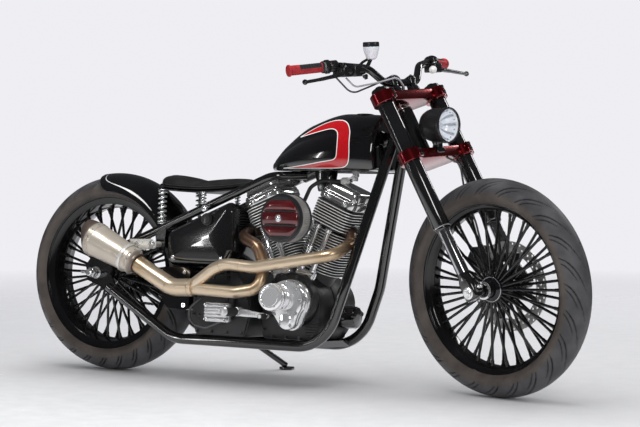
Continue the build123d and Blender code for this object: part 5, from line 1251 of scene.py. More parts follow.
# ------------------------------------------------------------------ exhaust
HEADER = Mat("header_bronze", Metallic=0.86)
_t = HEADER.attr("tint"); _n = HEADER.noise(16, 5); _s = HEADER.noise(120, 4, 0.6, (1, 6, 6))
_c = HEADER.ramp(HEADER.math("ADD", _t, HEADER.math("MULTIPLY", HEADER.math("SUBTRACT", _n, 0.5), 0.10)),
                 [(0.0, (0.05, 0.03, 0.022)), (0.06, (0.12, 0.07, 0.05)), (0.16, (0.27, 0.165, 0.10)), (0.32, (0.47, 0.345, 0.22)), (0.6, (0.62, 0.50, 0.365)), (1.0, (0.66, 0.555, 0.43))])
HEADER.color(HEADER.mix(HEADER.grey(_s, 0, 0.05, 0.4, 0.75), _c, (0.42, 0.30, 0.19))); HEADER.rough(HEADER.grey(_s, 0.30, 0.34, 0.3, 0.75)); HEADER.bump(_n, 0.02, 0.0004); HEADER = HEADER.m


def pipe(points, bends, r, heat, n=40, seg=14):
    path = rpath(points, bends, seg); fine = [path[0]]
    for p, q in zip(path[:-1], path[1:]):
        k = max(1, int(np.linalg.norm(q - p) / 14)); fine += [p + (q - p) * (j + 1) / k for j in range(k)]
    path = np.array(fine); s = np.concatenate([[0], np.cumsum(np.linalg.norm(np.diff(path, axis=0), axis=1))])
    return sweep(path, ring(r, n)), np.repeat(np.interp(s, [h[0] for h in heat], [h[1] for h in heat]), n), path


FRONT_PIPE = [(978, -30, 520), (1003, -68, 482), (1016, -196, 441), (708, -207, 389), (600, -207, 397), (552, -207, 380), (470, -210, 322)]
REAR_PIPE = [(640, -40, 520), (604, -136, 494), (690, -156, 462), (722, -160, 395), (722, -190, 318), (640, -207, 303), (470, -210, 308)]
COLLECTOR = [(474, -210, 313), (388, -213, 309), (300, -220, 356), (247, -222, 384.6)]
pf = pipe(FRONT_PIPE, [30, 48, 120, 120, 45], 20.5, [(0, 0.02), (90, 0.14), (200, 0.38), (330, 0.62), (700, 0.8)])
pr_ = pipe(REAR_PIPE, [40, 45, 45, 45, 60], 20.5, [(0, 0.0), (120, 0.03), (200, 0.14), (300, 0.34), (420, 0.6), (560, 0.72)])
pc = pipe(COLLECTOR, [90, 200], 30.0, [(0, 0.62), (120, 0.72), (190, 0.5), (225, 0.34), (260, 0.12)])
piece("front_pipe", pf[0], "bike", "frame", HEADER, angle=50, replaces="front_header", attrs={"tint": pf[1]})
rp = join(pr_[0], pc[0])
piece("rear_pipe_and_collector", rp, "bike", "frame", HEADER, angle=50, replaces="rear_header", attrs={"tint": np.concatenate([pr_[1], pc[1]])})
wl, wh = [], []
for path, r, marks, h in ((pf[2], 20.5, (0.16, 0.33, 0.66, 0.80), 0.45), (pr_[2], 20.5, (0.30, 0.52, 0.70), 0.3), (pc[2], 30.0, (0.03, 0.42), 0.4)):
    for f in marks:
        i = int(f * (len(path) - 2)); b = bead(path[i], path[i + 1] - path[i], r, 1.5, 30); wl.append(b); wh.append(np.full(len(b[0]), h))
piece("pipe_welds", join(*wl), "bike", "frame", HEADER, attrs={"tint": np.concatenate(wh)})
fl = [xf(lathe([(20.8, 0), (31, 0), (32, 1), (32, 6), (31, 7), (20.8, 7)], 44), frame_at(np.array(p) + np.array(d) * 6.0, d)) for p, d in (((978, -30, 520), np.array([25, -38, -38]) / 59.3), ((623, -84, 508), np.array([-36, -96, -26]) / 105.8))]
piece("port_flanges", join(*fl), "bike", "frame", DARK_STEEL)

MUFFLER = Mat("muffler_satin", Metallic=0.6, Anisotropic=0.35)
_h = MUFFLER.attr("tint"); _s = MUFFLER.noise(240, 5, 0.6, (1, 7, 1)); _n = MUFFLER.noise(8, 3)
_c = MUFFLER.mix(_h, MUFFLER.ramp(_n, [(0.3, (0.44, 0.39, 0.33)), (0.72, (0.52, 0.465, 0.395))]), (0.07, 0.045, 0.036))
MUFFLER.color(MUFFLER.mix(MUFFLER.grey(_s, 0, 0.25, 0.4, 0.75), _c, (0.44, 0.40, 0.345))); MUFFLER.rough(MUFFLER.grey(_s, 0.27, 0.42, 0.3, 0.75)); MUFFLER.bump(_s, 0.06, 0.0005); MUFFLER = MUFFLER.m
MA, MB = np.array([246, -222, 385.0]), np.array([54, -222, 467.0]); ML = np.linalg.norm(MB - MA)
muff = frame_at(MA, MB - MA, (0, 1, 0))
prof = [(31, 0.4, .9), (35, 0.6, .9), (37, 3, .85), (37.5, 8, .8), (41, 12, .6), (45, 16, .35), (46.4, 18, .1), (46.4, 25, .05), (45.6, 26.5, .02), (46.0, 30, 0), (52.6, ML * 0.55, 0), (58.2, ML - 24, 0), (58.6, ML - 22, 0), (60.2, ML - 21, .05), (60.2, ML - 5, .25), (60.2, ML - 2, .35), (58.0, ML, .6)]
off = [(56.5, ML + 6, -1.5, .95), (50, ML + 18, -8, 1), (40, ML + 32, -16.5, 1), (32.5, ML + 41, -21.5, 1), (31, ML + 42, -22, 1), (29.5, ML + 42.5, -22, 1), (26.5, ML + 41, -22, 1), (26, ML + 30, -22, 1), (26, ML - 10, -22, 1)]
secs, heat = [], []
for r, z, h in prof:
    q = ring(r, 72); secs.append(np.column_stack([q, np.full(72, z)])); heat += [h] * 72
for r, z, y, h in off:
    q = ring(r, 72); secs.append(np.column_stack([q[:, 0], q[:, 1] + y, np.full(72, z)])); heat += [h] * 72
piece("muffler_can", xf(loft(secs), muff), "bike", "frame", MUFFLER, angle=35, replaces="muffler", attrs={"tint": np.array(heat)})
rv = []
for z, r, sl in ((21.5, 46.4, 0.0), (ML - 13, 60.2, 0.0)):
    for q in np.arange(12) * 2 * pi / 12 + 0.2:
        rv.append(xf(turned([(3.2, -0.6), (3.2, 0.4), (2.6, 1.3), (1.2, 1.8)], 12), muff @ frame_at((r * cos(q), r * sin(q), z), (cos(q), sin(q), 0))))
piece("muffler_rivets", join(*rv), "bike", "frame", STEEL)
BRACKET = metal("bracket_alloy", (0.66, 0.64, 0.60), 0.24, 0.14, 200, dark=0.82, met=0.62)
br = [side_slab(rounded_poly([(166, 470), (262, 472), (284, 458), (276, 440), (216, 432), (176, 442)], [8, 12, 10, 10, 8, 8], 5), -160, -169, 1.6), rod((268, -127.4, 454), (268, -174, 454), 10, 24, 1.0), xf(lathe([(9, 0), (17, 0), (17, 3), (15, 4), (9, 4)], 40), frame_at((268, -169, 454), (0, -1, 0))),
      xf(lathe([(46.6, 0), (50.2, 0), (50.8, 1), (50.8, 13), (50.2, 14), (46.6, 14)], 72), muff @ T(0, 0, 44))]
piece("muffler_bracket_plate", join(*br), "bike", "frame", BRACKET, replaces="muffler_bracket")
piece("bracket_bolts", join(bolt((268, -174, 454), (0, -1, 0), 9, 7, "dome"), bolt((200, -169, 452), (0, -1, 0), 7, 5, "socket")), "bike", "frame", CHROME)

# ------------------------------------------------------------------ foot controls
PEG = gloss_paint("peg_rubber", (0.013, 0.013, 0.014), rough=0.5, dust=0.2, coat=0.0)
for side, word, (xa, xb), (za, zb), px, pz, axx, azz in ((-1, "right", (500, 600), (199, 264), 636, 238, 752, 228), (1, "left", (690, 760), (172, 236), 724, 208, 872, 236)):
    y0 = 162 if side < 0 else 184
    Y = lambda d: side * (y0 + d)
    blk = [side_slab(rrect(xb - xa, zb - za, 8, 5, (xa + xb) / 2, (za + zb) / 2), Y(0.4), Y(17), 2.0)]
    for k in range(5):
        z = za + 9 + k * 11.5
        blk.append(side_slab(rrect(xb - xa - 6, 7.4, 3, 4, (xa + xb) / 2, z), Y(15), Y(26), 2.2))
    o = rounded_poly([(xa + 8, pz - 11), (px, pz - 12), (px + 12, pz), (px, pz + 12), (xa + 8, pz + 11)], [4, 10, 10, 10, 4], 5)
    blk.append(side_slab(o, Y(7), Y(21), 2.0)); blk.append(rod((px, Y(4), pz), (px, Y(24), pz), 16, 32, 1.5))
    d = np.array([axx - px, azz - pz]); L = np.linalg.norm(d); t = d / L; nn = np.array([-t[1], t[0]])
    o = np.array([np.array([px, pz]) + t * u + nn * w for u, w in ((-16, -13), (30, -14), (L * 0.55, -10), (L, -8.5), (L + 10, 0), (L, 8.5), (L * 0.55, 9), (30, 12), (-16, 13))])
    blk.append(side_slab(chaikin(o, 2), Y(14), Y(24), 1.8)); blk.append(rod((axx, Y(12), azz), (axx, Y(66), azz), 6.5, 20, 1.0))
    blk.append(rod((px, Y(20), pz), (px, Y(34), pz), 10, 24, 1.0)); blk.append(xf(turned([(14, 0), (15, 1), (15, 4), (12, 6), (5, 7)], 32), frame_at((px, Y(102), pz), (0, side, 0))))
    piece(word + "_foot_block", join(*blk), "bike", "frame", ALLOY, replaces=word + "_foot_control")
    rub = []
    for k in range(9): rub.append(xf(turned([(11, 0), (14, 0.8), (14.4, 2), (14.4, 4.4), (14, 5.6), (11, 6.4)], 28), frame_at((px, Y(36 + k * 7.3), pz), (0, side, 0))))
    rub.append(rod((px, Y(34), pz), (px, Y(102), pz), 11.4, 24))
    for k in range(5): rub.append(xf(turned([(7, 0), (9, 0.7), (9.2, 2), (9.2, 5), (9, 6.3), (7, 7)], 22), frame_at((axx, Y(28 + k * 7.6), azz), (0, side, 0))))
    piece(word + "_foot_rubbers", join(*rub), "bike", "frame", PEG)
    fs = [bolt((x, Y(26), z), (0, side, 0), 4.6, 4) for x in (xa + 10, xb - 10) for z in (za + 9, zb - 9)] + [bolt((px, Y(24), pz + 0), (0, side, 0), 7, 5)]
    fs.append(bolt((axx, Y(24), azz), (0, side, 0), 5.5, 4))
    piece(word + "_foot_bolts", join(*fs), "bike", "frame", CHROME)

# oil filter, turned along X, with flutes round its end
n = 120; a = np.arange(n) * 2 * pi / n; secs = []
for r, x, fl_ in ((30, 0, 0), (36, 2, 0), (38, 5, 0), (38, 52, 0), (37, 54, .4), (37, 72, 1.0), (35, 76, .8), (30, 78, 0), (8, 78, 0)):
    rr = r - fl_ * 1.8 * (0.5 + 0.5 * np.cos(a * 14)); secs.append(np.column_stack([np.full(n, 907.0 + x), 24 + rr * np.cos(a), 232 + rr * np.sin(a)]))
piece("oil_filter_can", loft(secs), "bike", "frame", BLACK, angle=40, replaces="oil_filter")

# front caliper
fc_o = rounded_poly([(-30, 78), (-84, 86), (-104, 150), (-60, 176), (-24, 150)], 10, 5)
fc = [side_slab(fc_o, 73, 112, 4.0), side_slab(fc_o, 46, 54.5, 3.0), side_slab(rounded_poly([(-104, 148), (-86, 140), (-58, 160), (-62, 177)], 5, 4), 53, 75, 2.0),
      side_slab(rounded_poly([(-22.5, 92), (-44, 97), (-44, 139), (-22.5, 145)], 4, 4), 102, 138, 2.0)]
fc += [xf(turned([(15, 0), (15.5, 1), (15.5, 4), (13, 6), (5, 6.5)], 32), frame_at((x, 112, z), (0, 1, 0))) for x, z in ((-72, 106), (-62, 142))]
piece("front_caliper_body", join(*fc), "fork", "steering", SATIN, replaces="front_caliper")
piece("front_caliper_bolts", join(*[bolt((x, 112.4, z), (0, 1, 0), 5, 5) for x, z in ((-40, 90), (-92, 146), (-36, 146))]), "fork", "steering", STEEL)

# ------------------------------------------------------------------ fork
DARK_CHROME = metal("dark_chrome", (0.50, 0.50, 0.52), 0.07, 0.06, 40, dark=0.8, bump=0.015)
ft, fl2, fs, fcap, frg = [], [], [], [], []
for s in (-1, 1):
    y = s * FORK_Y; m = T(0, y, 0)
    prof = [(24, 234.4), (27.6, 234.8), (28.4, 236.4), (28.4, 455), (28.5, 457), (28.5, 733), (27.5, 737)]
    ft.append(xf(turned(prof, 64), m))
    fcap.append(xf(turned([(26.5, 736.5), (26.5, 741), (25, 743), (17, 743), (16, 741.6), (15, 741.6), (14, 743.5), (4, 744)], 56), m)); fcap.append(xf(bolt((0, 0, 743.5), (0, 0, 1), 11, 7, "hex", False), m))
    fl2.append(xf(turned([(20.4, 44), (20.5, 46), (20.5, 226), (20.5, 236)], 56), m))
    fs.append(xf(turned([(20.8, 221), (23, 222), (25.4, 225), (26, 228), (26, 231), (22, 232)], 56), m))
    frg.append(xf(turned([(24, 231.2), (27.4, 231.4), (28.7, 232.4), (28.7, 234.0), (27.4, 234.8), (24, 235)], 64), m))
    secs = []
    for w, h, r, z in ((40, 28, 12, -24), (48, 35, 12, -22.5), (54, 40, 12, -17), (54, 40, 12, 34), (50, 40, 14, 44), (44, 41, 19, 54), (42, 41.5, 20, 62), (41.4, 41.4, 20.5, 68)):
        q = rrect(w, h, r, 8); secs.append(np.column_stack([q[:, 0], q[:, 1] + y, np.full(len(q), z)]))
    fs.append(loft(secs))
    fs.append(side_slab(rrect(16, 30, 5, 4, 30, 4), y - 12, y + 12, 2.0))
piece("fork_tubes", join(*ft), "fork", "steering", BLACK, angle=35, replaces="fork_outer_tubes")
piece("fork_tube_caps", join(*fcap), "fork", "steering", BLACK)
piece("fork_tube_rings", join(*frg), "fork", "steering", CHROME)
piece("fork_stanchions", join(*fl2), "fork", "steering", DARK_CHROME)
piece("fork_feet", join(*fs), "fork", "steering", BLACK, angle=40, replaces="fork_legs")
fa = [xf(turned([(0.5, -168), (7, -168), (9, -166), (9, -152.6), (10, -152), (10, 152), (9, 152.6), (9, 166), (7, 168), (0.5, 168)], 36), WHEEL)]
fsp = []
for s in (-1, 1):
    fsp.append(xf(turned([(15, 84.5), (16, 85.5), (16, 96), (15, 97), (15, 99), (16, 100), (16, 111), (15, 112)], 40), np.diag([1, float(s), 1, 1]) @ WHEEL))
    fa.append(bolt((0, s * 152.6, 0), (0, s, 0), 15.5, 9, "hex", False)); fa.append(xf(turned([(19, -0.4), (19.5, 0.4), (19.5, 1.6), (18, 2)], 36), frame_at((0, s * 152.4, 0), (0, s, 0))))
    fa.append(bolt((38, s * (FORK_Y + 5), 4), (1, 0, 0), 4.4, 4)); fa.append(bolt((38, s * (FORK_Y - 6), 4), (1, 0, 0), 4.4, 4))
piece("front_axle_shaft", join(*fa), "fork", "steering", POLISHED, replaces="front_axle")
piece("front_axle_spacers", join(*fsp), "fork", "steering", RIM)

YOKE = Mat("yoke_anodised", Metallic=0.92, Coat_Weight=0.6, Coat_Roughness=0.06)
_n = YOKE.noise(10, 3); _s = YOKE.noise(260, 4, 0.6, (1, 1, 9))
YOKE.color(YOKE.mix(YOKE.grey(_s, 0, 0.3, 0.4, 0.75), YOKE.ramp(_n, [(0.3, (0.15, 0.003, 0.006)), (0.72, (0.25, 0.006, 0.011))]), (0.07, 0.0015, 0.003)))
YOKE.rough(YOKE.grey(_s, 0.16, 0.28)); YOKE.bump(_s, 0.04, 0.0004); YOKE = YOKE.m
STEMR = 15.0
for word, (a0, a1), node in (("lower", LOW_YOKE, "lower_yoke"), ("top", TOP_YOKE, "top_yoke")):
    o = rounded_poly([(26, -118), (26, 118), (-20, 126), (-FORK_OFFSET - 36, 36), (-FORK_OFFSET - 36, -36), (-20, -126)], [8, 8, 14, 20, 20, 14], 6)
    yk = [slab(o, a0 + 2, a1 - 2, 4.0)]
    inner = rounded_poly([(14, -92), (14, 92), (-22, 84), (-40, 34), (-40, -34), (-22, -84)], 12, 5)
    for s in (-1, 1):
        yk.append(xf(lathe([(28.7, a0), (37, a0), (39, a0 + 2), (39, a1 - 2), (37, a1), (28.7, a1)], 72), T(0, s * FORK_Y, 0)))
        yk.append(slab(rounded_poly([(26, s * 112), (48, s * 116), (48, s * 136), (26, s * 146)], 5, 4), a0 + 3, a1 - 3, 2.5))
    yk.append(slab(inner, a1 - 2.4, a1 - 0.4, 0.8))
    piece(word + "_yoke_machined", join(*yk), "fork", "steering", YOKE, angle=35, replaces=node)
    yb, yc = [], []
    for s in (-1, 1):
        for z in (a0 + 11, a1 - 11): yc.append(bolt((48, s * 126, z), (1, 0, 0), 4.4, 4.0))
    if word == "top":
        yb.append(xf(turned([(22, 727), (24, 728), (24, 733), (20, 735), (19, 743), (15, 748), (5, 750)], 48), T(-FORK_OFFSET, 0, 0)))
        piece("stem_nut", join(*yb), "fork", "steering", CHROME)
    piece(word + "_yoke_bolts", join(*yc), "fork", "steering", DARK_STEEL)
stem = [xf(turned([(STEMR, 505), (STEMR, 512), (26, 512.2), (26, 514.5), (STEMR, 515), (STEMR, 730)], 48), T(-FORK_OFFSET, 0, 0))]
piece("steering_stem", join(*stem), "fork", "steering", STEEL)

# ------------------------------------------------------------------ headlight
LX, LZ, LR = 1338.0, 879.0, 59.0
ALONG_X = np.array([[0, 0, 1, 0], [1, 0, 0, 0], [0, 1, 0, 0], [0, 0, 0, 1.0]])                       # lathe axis Z -> X
TO_LAMP = T(LX, 0, LZ) @ ALONG_X
shell = [(4, -104), (20, -103.5), (26, -101), (36, -96), (44, -91), (51, -78), (55, -64), (56.4, -58), (56.4, -18), (58.2, -17), (59, -15), (59, -2), (58, 0), (55.5, 0.6), (53.2, -0.6), (53, -4), (50, -12), (44, -28), (34, -42), (20, -50), (4, -52)]
piece("lamp_shell", xf(turned(shell, 96), TO_LAMP), "bars", "steering", SATIN, angle=35, replaces="headlight")
# painted light: the reflector bowl glows faintly through its emission, brightening the shaded inside of the headlamp
LAMP_PAINTED_GLOW = Mat("lamp_mirror_painted_glow", Metallic=0.15, Emission_Color=(0.84, 0.89, 1.0), Emission_Strength=0.10)
_n = LAMP_PAINTED_GLOW.noise(70, 2); _painted_folds_dark_centre = LAMP_PAINTED_GLOW.attr("painted_folds_dark_centre")
# painted reflection: the mask mixes dark grey into the bowl along its folds; it also darkens the bowl round the bulb
# hole
LAMP_PAINTED_GLOW.color(LAMP_PAINTED_GLOW.mix(_painted_folds_dark_centre, LAMP_PAINTED_GLOW.ramp(_n, [(0.3, (0.84, 0.88, 0.95)), (0.7, (0.93, 0.95, 0.99))]), (0.045, 0.05, 0.065))); LAMP_PAINTED_GLOW.rough(LAMP_PAINTED_GLOW.grey(_n, 0.16, 0.3)); LAMP_PAINTED_GLOW = LAMP_PAINTED_GLOW.m
refl = [(4, -51.6), (19.9, -49.4), (33.8, -41.6), (43.8, -28.2), (49.7, -12.3), (52.8, -5.3), (52.6, -5.0), (51, -8.6), (49.4, -12.4), (46.5, -20), (43.4, -28), (38.5, -35), (33.4, -41), (26, -45.5), (19.6, -48.6), (9, -50), (8.6, -44), (8.6, -34), (6, -30), (1, -29)]
V, F = turned(refl, 144); q = np.arctan2(V[:, 1], V[:, 0]); r = np.hypot(V[:, 0], V[:, 1])
fold = 0.5 - np.abs((q * 9 / (2 * pi)) % 1.0 - 0.5); on = sstep(12, 26, r) * sstep(52, 48, r)             # fluted segments round the bulb
V[:, 2] += 5.0 * fold * on
# painted reflection: the mask darkens the reflector along its folds, in place of the dark reflections a fluted mirror
# shows; it also darkens the reflector round the bulb hole
piece("lamp_reflector", xf((V, F), TO_LAMP), "bars", "steering", LAMP_PAINTED_GLOW, angle=20, attrs={"painted_folds_dark_centre": np.clip(on * sstep(0.24, 0.10, fold) * 0.85 + sstep(12, 9, r) * 0.5, 0, 1)})
LAMP_RIM = gloss_paint("lamp_rim", (0.010, 0.010, 0.011), rough=0.22, dust=0.10, coat=0.5)
piece("lamp_trim", xf(lathe([(52.6, -3), (56.5, -2.4), (58.4, -1), (58.6, 0.6), (57.4, 2.2), (54.4, 2.6), (52.6, 1.0)], 96), TO_LAMP), "bars", "steering", LAMP_RIM)
GLASS = Mat("lamp_glass", Alpha=0.12, IOR=1.45, Specular_IOR_Level=0.6)
_w = GLASS.noise(60, 2); GLASS.color(GLASS.ramp(_w, [(0.3, (0.86, 0.90, 0.95)), (0.7, (0.94, 0.96, 1.0))])); GLASS.rough(GLASS.grey(_w, 0.03, 0.08)); GLASS = GLASS.m
rr_, hh, nr, na = 53.0, 9.0, 40, 144
Rl = (rr_ ** 2 + hh ** 2) / (2 * hh); rows = []
for i in range(nr + 1):
    r = 0.6 + (rr_ - 0.6) * i / nr
    row = []
    for k in range(na):
        q = 2 * pi * k / na; x, z = r * cos(q), r * sin(q)
        facet = 0.25 * (abs((x / 9.0) % 1.0 - 0.5) + abs((z / 13.0) % 1.0 - 0.5) - 0.5) * sstep(52, 46, r)
        row.append((x, z, -2 + sqrt(Rl ** 2 - r ** 2) - (Rl - hh) - 0.4 + facet))
    rows.append(row)
front_ = np.array(rows); back_ = front_.copy(); back_[:, :, 2] = -5.4
secs = [back_[-1]] + [front_[i] for i in range(nr, -1, -1)]
V, F = loft([np.array(back_[0])] + [np.array(s_) for s_ in secs])
piece("lamp_lens", xf((V, F), TO_LAMP), "bars", "steering", GLASS, angle=25, replaces="headlight_lens")
dots = [xf(turned([(2.2, 0), (2.2, 1.2), (1.5, 1.8)], 10), TO_LAMP @ T(46.5 * cos(q), 46.5 * sin(q), -14.0)) for q in np.arange(18) * 2 * pi / 18]
piece("lamp_dots", join(*dots), "bars", "steering", SATIN)
bk = [xf(loft([np.column_stack([rrect(w, h, r, 6, LX - 50, 0), np.full(len(rrect(w, h, r, 6)), z)]) for w, h, r, z in ((34, 38, 6, 790), (36, 40, 6, 792), (36, 40, 6, 800), (28, 30, 8, 808), (26, 28, 8, 816), (30, 34, 8, 824), (32, 36, 8, 828))]), np.eye(4))]
piece("lamp_bracket", join(*bk), "bars", "steering", BLACK)

# ------------------------------------------------------------------ bars and hand controls
BAR = [(1002, 392, 1074), (1064, 240, 1084), (1108, 130, 1072), (1140, 78, 1019)]
route = [(x, -y, z) for x, y, z in BAR] + [(x, y, z) for x, y, z in reversed(BAR)]
bar = [tube(route, [70, 60, 50, 50, 60, 70], 12.7, 28, 14)]
riser = FORK_HOME @ T(-5.5, 0, TOP_YOKE[1])
rise, rbolt = [], []
for s in (-1, 1):
    secs = []
    for w, h, z in ((36, 28, 0), (40, 30, 2), (40, 30, 10), (32, 26, 20), (30, 25, 30), (38, 29, 42), (40, 30, 46), (40, 30, 52), (36, 27, 56)):
        q = rrect(w, h, 8, 6, 0, 46 * s); secs.append(np.column_stack([q, np.full(len(q), z)]))
    rise.append(xf(loft(secs), riser))
    for x in (-13, 13): rbolt.append(xf(bolt((x, 46 * s, 56), (0, 0, 1), 4.4, 4.5), riser))
piece("bar_tube", join(*bar, *rise), "bars", "steering", BLACK, angle=40, replaces="handlebar")
piece("riser_bolts", join(*rbolt), "bars", "steering", STEEL)

GRIP = Mat("grip_rubber", Specular_IOR_Level=0.4)
_i = GRIP.attr("inlay"); _n = GRIP.noise(30, 4); _f = GRIP.noise(800, 2, kind="ShaderNodeTexVoronoi")
GRIP.color(GRIP.mix(_i, GRIP.ramp(_n, [(0.3, (0.29, 0.011, 0.016)), (0.7, (0.41, 0.019, 0.026))]), (0.020, 0.020, 0.022))); GRIP.rough(GRIP.grey(_n, 0.40, 0.58)); GRIP.bump(_f, 0.25, 0.0006); GRIP = GRIP.m
gv, ga, cuff = [], [], []
for s in (-1, 1):
    a_ = np.array([1002, 392 * s, 1074.0]); al = np.array([1064, 240 * s, 1084.0]) - a_; al /= np.linalg.norm(al)
    fr = frame_at(a_, al, (0, 0, 1))                                    # local X is up
    zs = [-5, -4.4, -3, 1, 3, 4.2] + list(np.linspace(6, 114, 73)) + [115.5, 117, 119, 121, 122]
    n = 72; a = np.arange(n) * 2 * pi / n; secs, inl = [], []
    for z in zs:
        if z < 4: r = np.interp(z, [-5, -4.4, -3, 1, 3], [15, 18.6, 19.6, 19.6, 18])
        elif z > 115: r = np.interp(z, [115.5, 117, 119, 121, 122], [16.4, 19, 20, 20, 18.6])
        else: r = 15.9 + 0.9 * (sstep(0.15, 0.4, 0.5 - abs((z / 6.0) % 1.0 - 0.5)))
        patch = (sstep(0.2, 0.4, np.cos(a - radians(15))) * (1.0 if 34 < z < 112 else 0.0)) if z < 115 else np.ones(n)
        rr = r - (patch * 0.8 if z < 115 else 0.0)
        secs.append(np.column_stack([rr * np.cos(a), rr * np.sin(a), np.full(n, z)])); inl.append(patch)
    b = xf(loft(secs), fr); gv.append(b); ga.append(np.concatenate(inl))
    cuff.append(xf(turned([(13.2, 122.3), (16, 122.4), (16.4, 123), (16.4, 126), (16, 126.6), (13.2, 126.8)], 40), fr))
piece("grip_pair", join(*gv), "bars", "steering", GRIP, angle=40, replaces="grips", attrs={"inlay": np.concatenate(ga)})
LEVER = gloss_paint("lever_black", (0.006, 0.006, 0.0066), rough=0.24, dust=0.10, coat=0.3)
KNURL = gloss_paint("white_plastic", (0.62, 0.62, 0.60), rough=0.35, dust=0.1, coat=0.0)
for s, word, node in ((-1, "brake", "brake_lever_set"), (1, "clutch", "clutch_lever_set")):
    a_ = np.array([1002, 392 * s, 1074.0]); al = np.array([1064, 240 * s, 1084.0]) - a_; al /= np.linalg.norm(al)
    fr = frame_at(a_, al, (0, 0, 1))
    lv = [xf(turned([(13, 126.9), (21, 127), (23, 129), (23, 140), (21.5, 142), (13, 142.2)], 48), fr), xf(turned([(13, 142.2), (18, 142.4), (19, 144), (19, 168), (18, 170), (13, 170.2)], 40), fr)]
    lv.append(slab(rrect(54, 40, 9, 5, 1086, 232 * s), 1047, 1080, 4.0))
    path = rpath([(1096, 226 * s, 1058), (1101, 262 * s, 1055), (1104, 300 * s, 1050), (1099, 352 * s, 1043), (1088, 406 * s, 1037.2)], [60, 90, 120], 8)
    u = np.linspace(0, 1, len(path)); e = np.column_stack([5.2 * np.cos(np.arange(18) * 2 * pi / 18), 8.0 * np.sin(np.arange(18) * 2 * pi / 18)])
    lv.append(sweep(path, e, scale=np.interp(u, [0, 0.25, 0.6, 1], [1.45, 1.42, 1.2, 1.08]), up=(0, 0, 1)))
    ball = [(0.5, -9)] + [(9 * cos(q), 9 * sin(q)) for q in np.linspace(-1.4, 1.4, 15)] + [(0.5, 9)]
    lv.append(xf(turned(ball, 28), T(1088, 411 * s, 1037)))
    lv.append(xf(lathe([(5.2, 1080), (10, 1080), (11, 1081.5), (11, 1092.5), (10, 1094), (5.2, 1094)], 32), T(1090, 232 * s, 0)))
    if s < 0:
        lv.append(xf(turned([(11, 0), (15, 1.5), (15, 26), (13.6, 27.5), (13.6, 31), (15, 32.5), (15, 66), (13, 72), (10, 79)], 36), frame_at((1094, -236, 1064), (34, 72, 2))))
        lv.append(slab(rrect(36, 40, 8, 5, 1112, -196), 1047, 1084, 4.0)); lv.append(xf(turned([(8, 0), (9, 1), (9, 9), (6, 11), (6, 15), (3, 16)], 24), frame_at((1126, -166, 1052), (0.2, 0.3, -0.93))))
        lv.append(tube([(1124, -174, 1070), (1129, -152, 1082), (1127, -136, 1101)], [16], 6.4, 18)); lv.append(tube([(1106, -178, 1076), (1110, -158, 1092), (1118, -140, 1102)], [16], 4.4, 16))
    piece(word + "_lever_body", join(*lv), "bars", "steering", LEVER, angle=40, replaces=node)
    hw = [bolt((1097, 229 * s, 1080.4), (0, 0, 1), 5.0, 4.0), bolt((1068, 226 * s, 1075), (-1, 0, 0.2), 3.6, 4)]
    if s > 0:
        hw.append(xf(turned([(13, 122.4), (17, 122.5), (18, 123.5), (18, 126), (17, 126.8)], 40), fr))
    piece(word + "_lever_screws", join(*hw), "bars", "steering", ALLOY)
piece("grip_cuffs", join(*cuff), "bars", "steering", ALLOY)
kn = []
n = 60; a = np.arange(n) * 2 * pi / n; secs = []
for r, z in ((4, 0), (8.4, 0.6), (9, 2), (9, 12), (8.4, 13.4), (5, 14), (5, 22), (3.6, 23)):
    rr = r - (0.7 * (0.5 + 0.5 * np.cos(a * 20)) if 8.5 < r else 0.0); secs.append(np.column_stack([rr * np.cos(a), rr * np.sin(a), np.full(n, z)]))
kn.append(xf(loft(secs), frame_at((1104, 212, 1058), (0.5, -0.85, -0.1)) @ np.diag([1.45, 1.45, 1.3, 1.0])))
piece("clutch_adjuster", join(*kn), "bars", "steering", KNURL)
RES = Mat("reservoir_plastic", Subsurface_Weight=0.25, Transmission_Weight=0.12, Specular_IOR_Level=0.5)
RES.color(RES.ramp(RES.noise(30, 3), [(0.3, (0.72, 0.71, 0.77)), (0.7, (0.84, 0.83, 0.88))])); RES.rough(RES.grey(RES.noise(200, 3), 0.22, 0.36)); RES = RES.m
cup = [(6, 1100), (12, 1100.4), (15.5, 1102), (17.6, 1106), (25.4, 1132), (26.2, 1138), (26.2, 1142), (25, 1143)]
piece("reservoir_cup", xf(turned(cup, 64), T(1126, -130, 0)), "bars", "steering", RES)
n = 144; a = np.arange(n) * 2 * pi / n; secs = []
for r, z, k in ((25, 1142, 0), (26.6, 1142.5, 1), (27, 1144, 1), (27, 1154, 1), (26, 1157, 1), (23, 1158, 0), (21, 1157.2, 0), (4, 1157.4, 0)):
    rr = r - k * 1.0 * (0.5 + 0.5 * np.cos(a * 36)); secs.append(np.column_stack([1126 + rr * np.cos(a), -130 + rr * np.sin(a), np.full(n, z)]))
piece("reservoir_cap", loft(secs), "bars", "steering", SATIN)

BRAID = Mat("braided_hose", Metallic=0.9)
_v = BRAID.noise(1500, 2, kind="ShaderNodeTexVoronoi"); BRAID.color(BRAID.ramp(_v, [(0.1, (0.46, 0.46, 0.47)), (0.6, (0.16, 0.16, 0.165))])); BRAID.rough(BRAID.grey(_v, 0.26, 0.5)); BRAID.bump(_v, 0.6, 0.0008); BRAID = BRAID.m
lines = [tube([(1052, -232, 1052), (1083, -185, 990), (1111, -92, 1020), (1146, -28, 1052), (1160, -16, 1010), (1146, -14, 962)], [40, 60, 25, 30], 3.0, 14, 12)]
piece("brake_line", join(*lines), "bars", "steering", BRAID, replaces="control_lines")
SHEATH = gloss_paint("cable_sheath", (0.30, 0.30, 0.32), rough=0.34, dust=0.12, coat=0.2)
piece("throttle_cable", tube([(1076, -203, 1044), (1094, -180, 1012), (1150, -118, 1026), (1176, -60, 1040), (1172, -20, 1003), (1150, -18, 968)], [25, 60, 30, 30], 3.0, 14, 12), "bars", "steering", SHEATH)
piece("caliper_hose", tube([(14, 30, 471), (20, 72, 440), (-30, 98, 360), (-44, 100, 250), (-58, 94, 170)], [30, 50, 60], 3.4, 14, 12), "fork", "steering", BRAID)
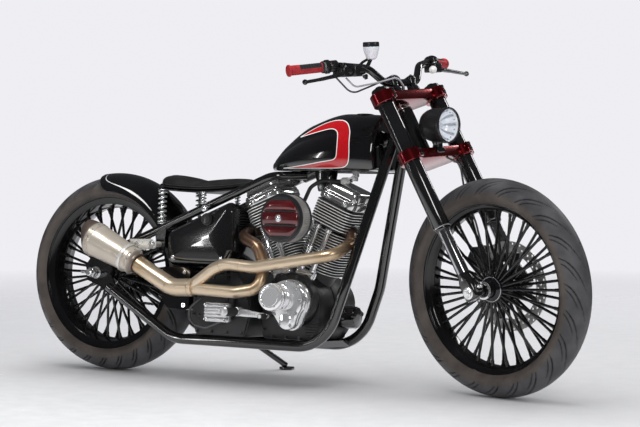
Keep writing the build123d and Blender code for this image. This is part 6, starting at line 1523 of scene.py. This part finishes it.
piece("pedal_hose", tube([(560, -160, 202), (500, -172, 176), (440, -176, 190), (430, -172, 240), (470, -160, 276)], [40, 40, 40], 4.0, 14, 12), "bike", "frame", BRAID)

# ------------------------------------------------------------------ side stand
piv = np.array([460, 172, 128.0]); sax = np.array([0, 0.621, 0.784]); sax /= np.linalg.norm(sax)
inv = np.linalg.inv(PARK)
gz = -(PARK @ np.array([540, 306, 0, 1.0]))[2] / cos(radians(LEAN)); foot = np.array([540, 306, gz + 12.0])
sole = frame_at(foot - (0, 0, 12), (0, -sin(radians(LEAN)), cos(radians(LEAN))), (1, 0, 0))
eye = frame_at(piv, sax)
stp = [xf(lathe([(6.2, -12.5), (14, -12.5), (15, -11.5), (15, 10.5), (14, 11.5), (6.2, 11.5)], 40), eye)]
leg = rpath([piv + (foot - piv) * 0.06, piv + (foot - piv) * 0.5 + (0, 0, 0), foot - (foot - piv) * 0.02], [60], 8)
stp.append(sweep(leg, np.column_stack([10.6 * np.cos(np.arange(20) * 2 * pi / 20), 8.6 * np.sin(np.arange(20) * 2 * pi / 20)]), up=(0, 0, 1)))
stp.append(xf(slab(rrect(52, 40, 14, 6), 0.05, 9, 2.0), sole))
piece("stand_leg", join(*stp), "bike", "side_stand", BLACK, replaces="side_stand")
piece("stand_pin", xf(bolt((0, 0, 15.6), (0, 0, 1), 8, 6, "dome"), eye), "bike", "frame", CHROME)

# the key box is a metal light: its mirror image stays off the black enamel
bright = bpy.data.collections.new("bright_metal")
paint = bpy.data.collections.new("painted_pieces"); side_strip.light_linking.receiver_collection = paint      # the strip draws its line on the bike, not on the floor
for ob in bpy.context.scene.objects:
    if ob.type == "MESH" and ob.name != "floor" and "battery" not in ob.name: paint.objects.link(ob)
for ob in list(bpy.context.scene.collection.objects):
    if ob.type == "MESH" and any(x.name.split(".")[0] in ("header_bronze", "muffler_satin", "chrome", "polished_alloy", "machined_alloy", "bracket_alloy", "black_chrome", "fin_enamel", "dark_chrome", "disc_steel") for x in ob.data.materials if x):
        bright.objects.link(ob)
key_box.light_linking.receiver_collection = bright
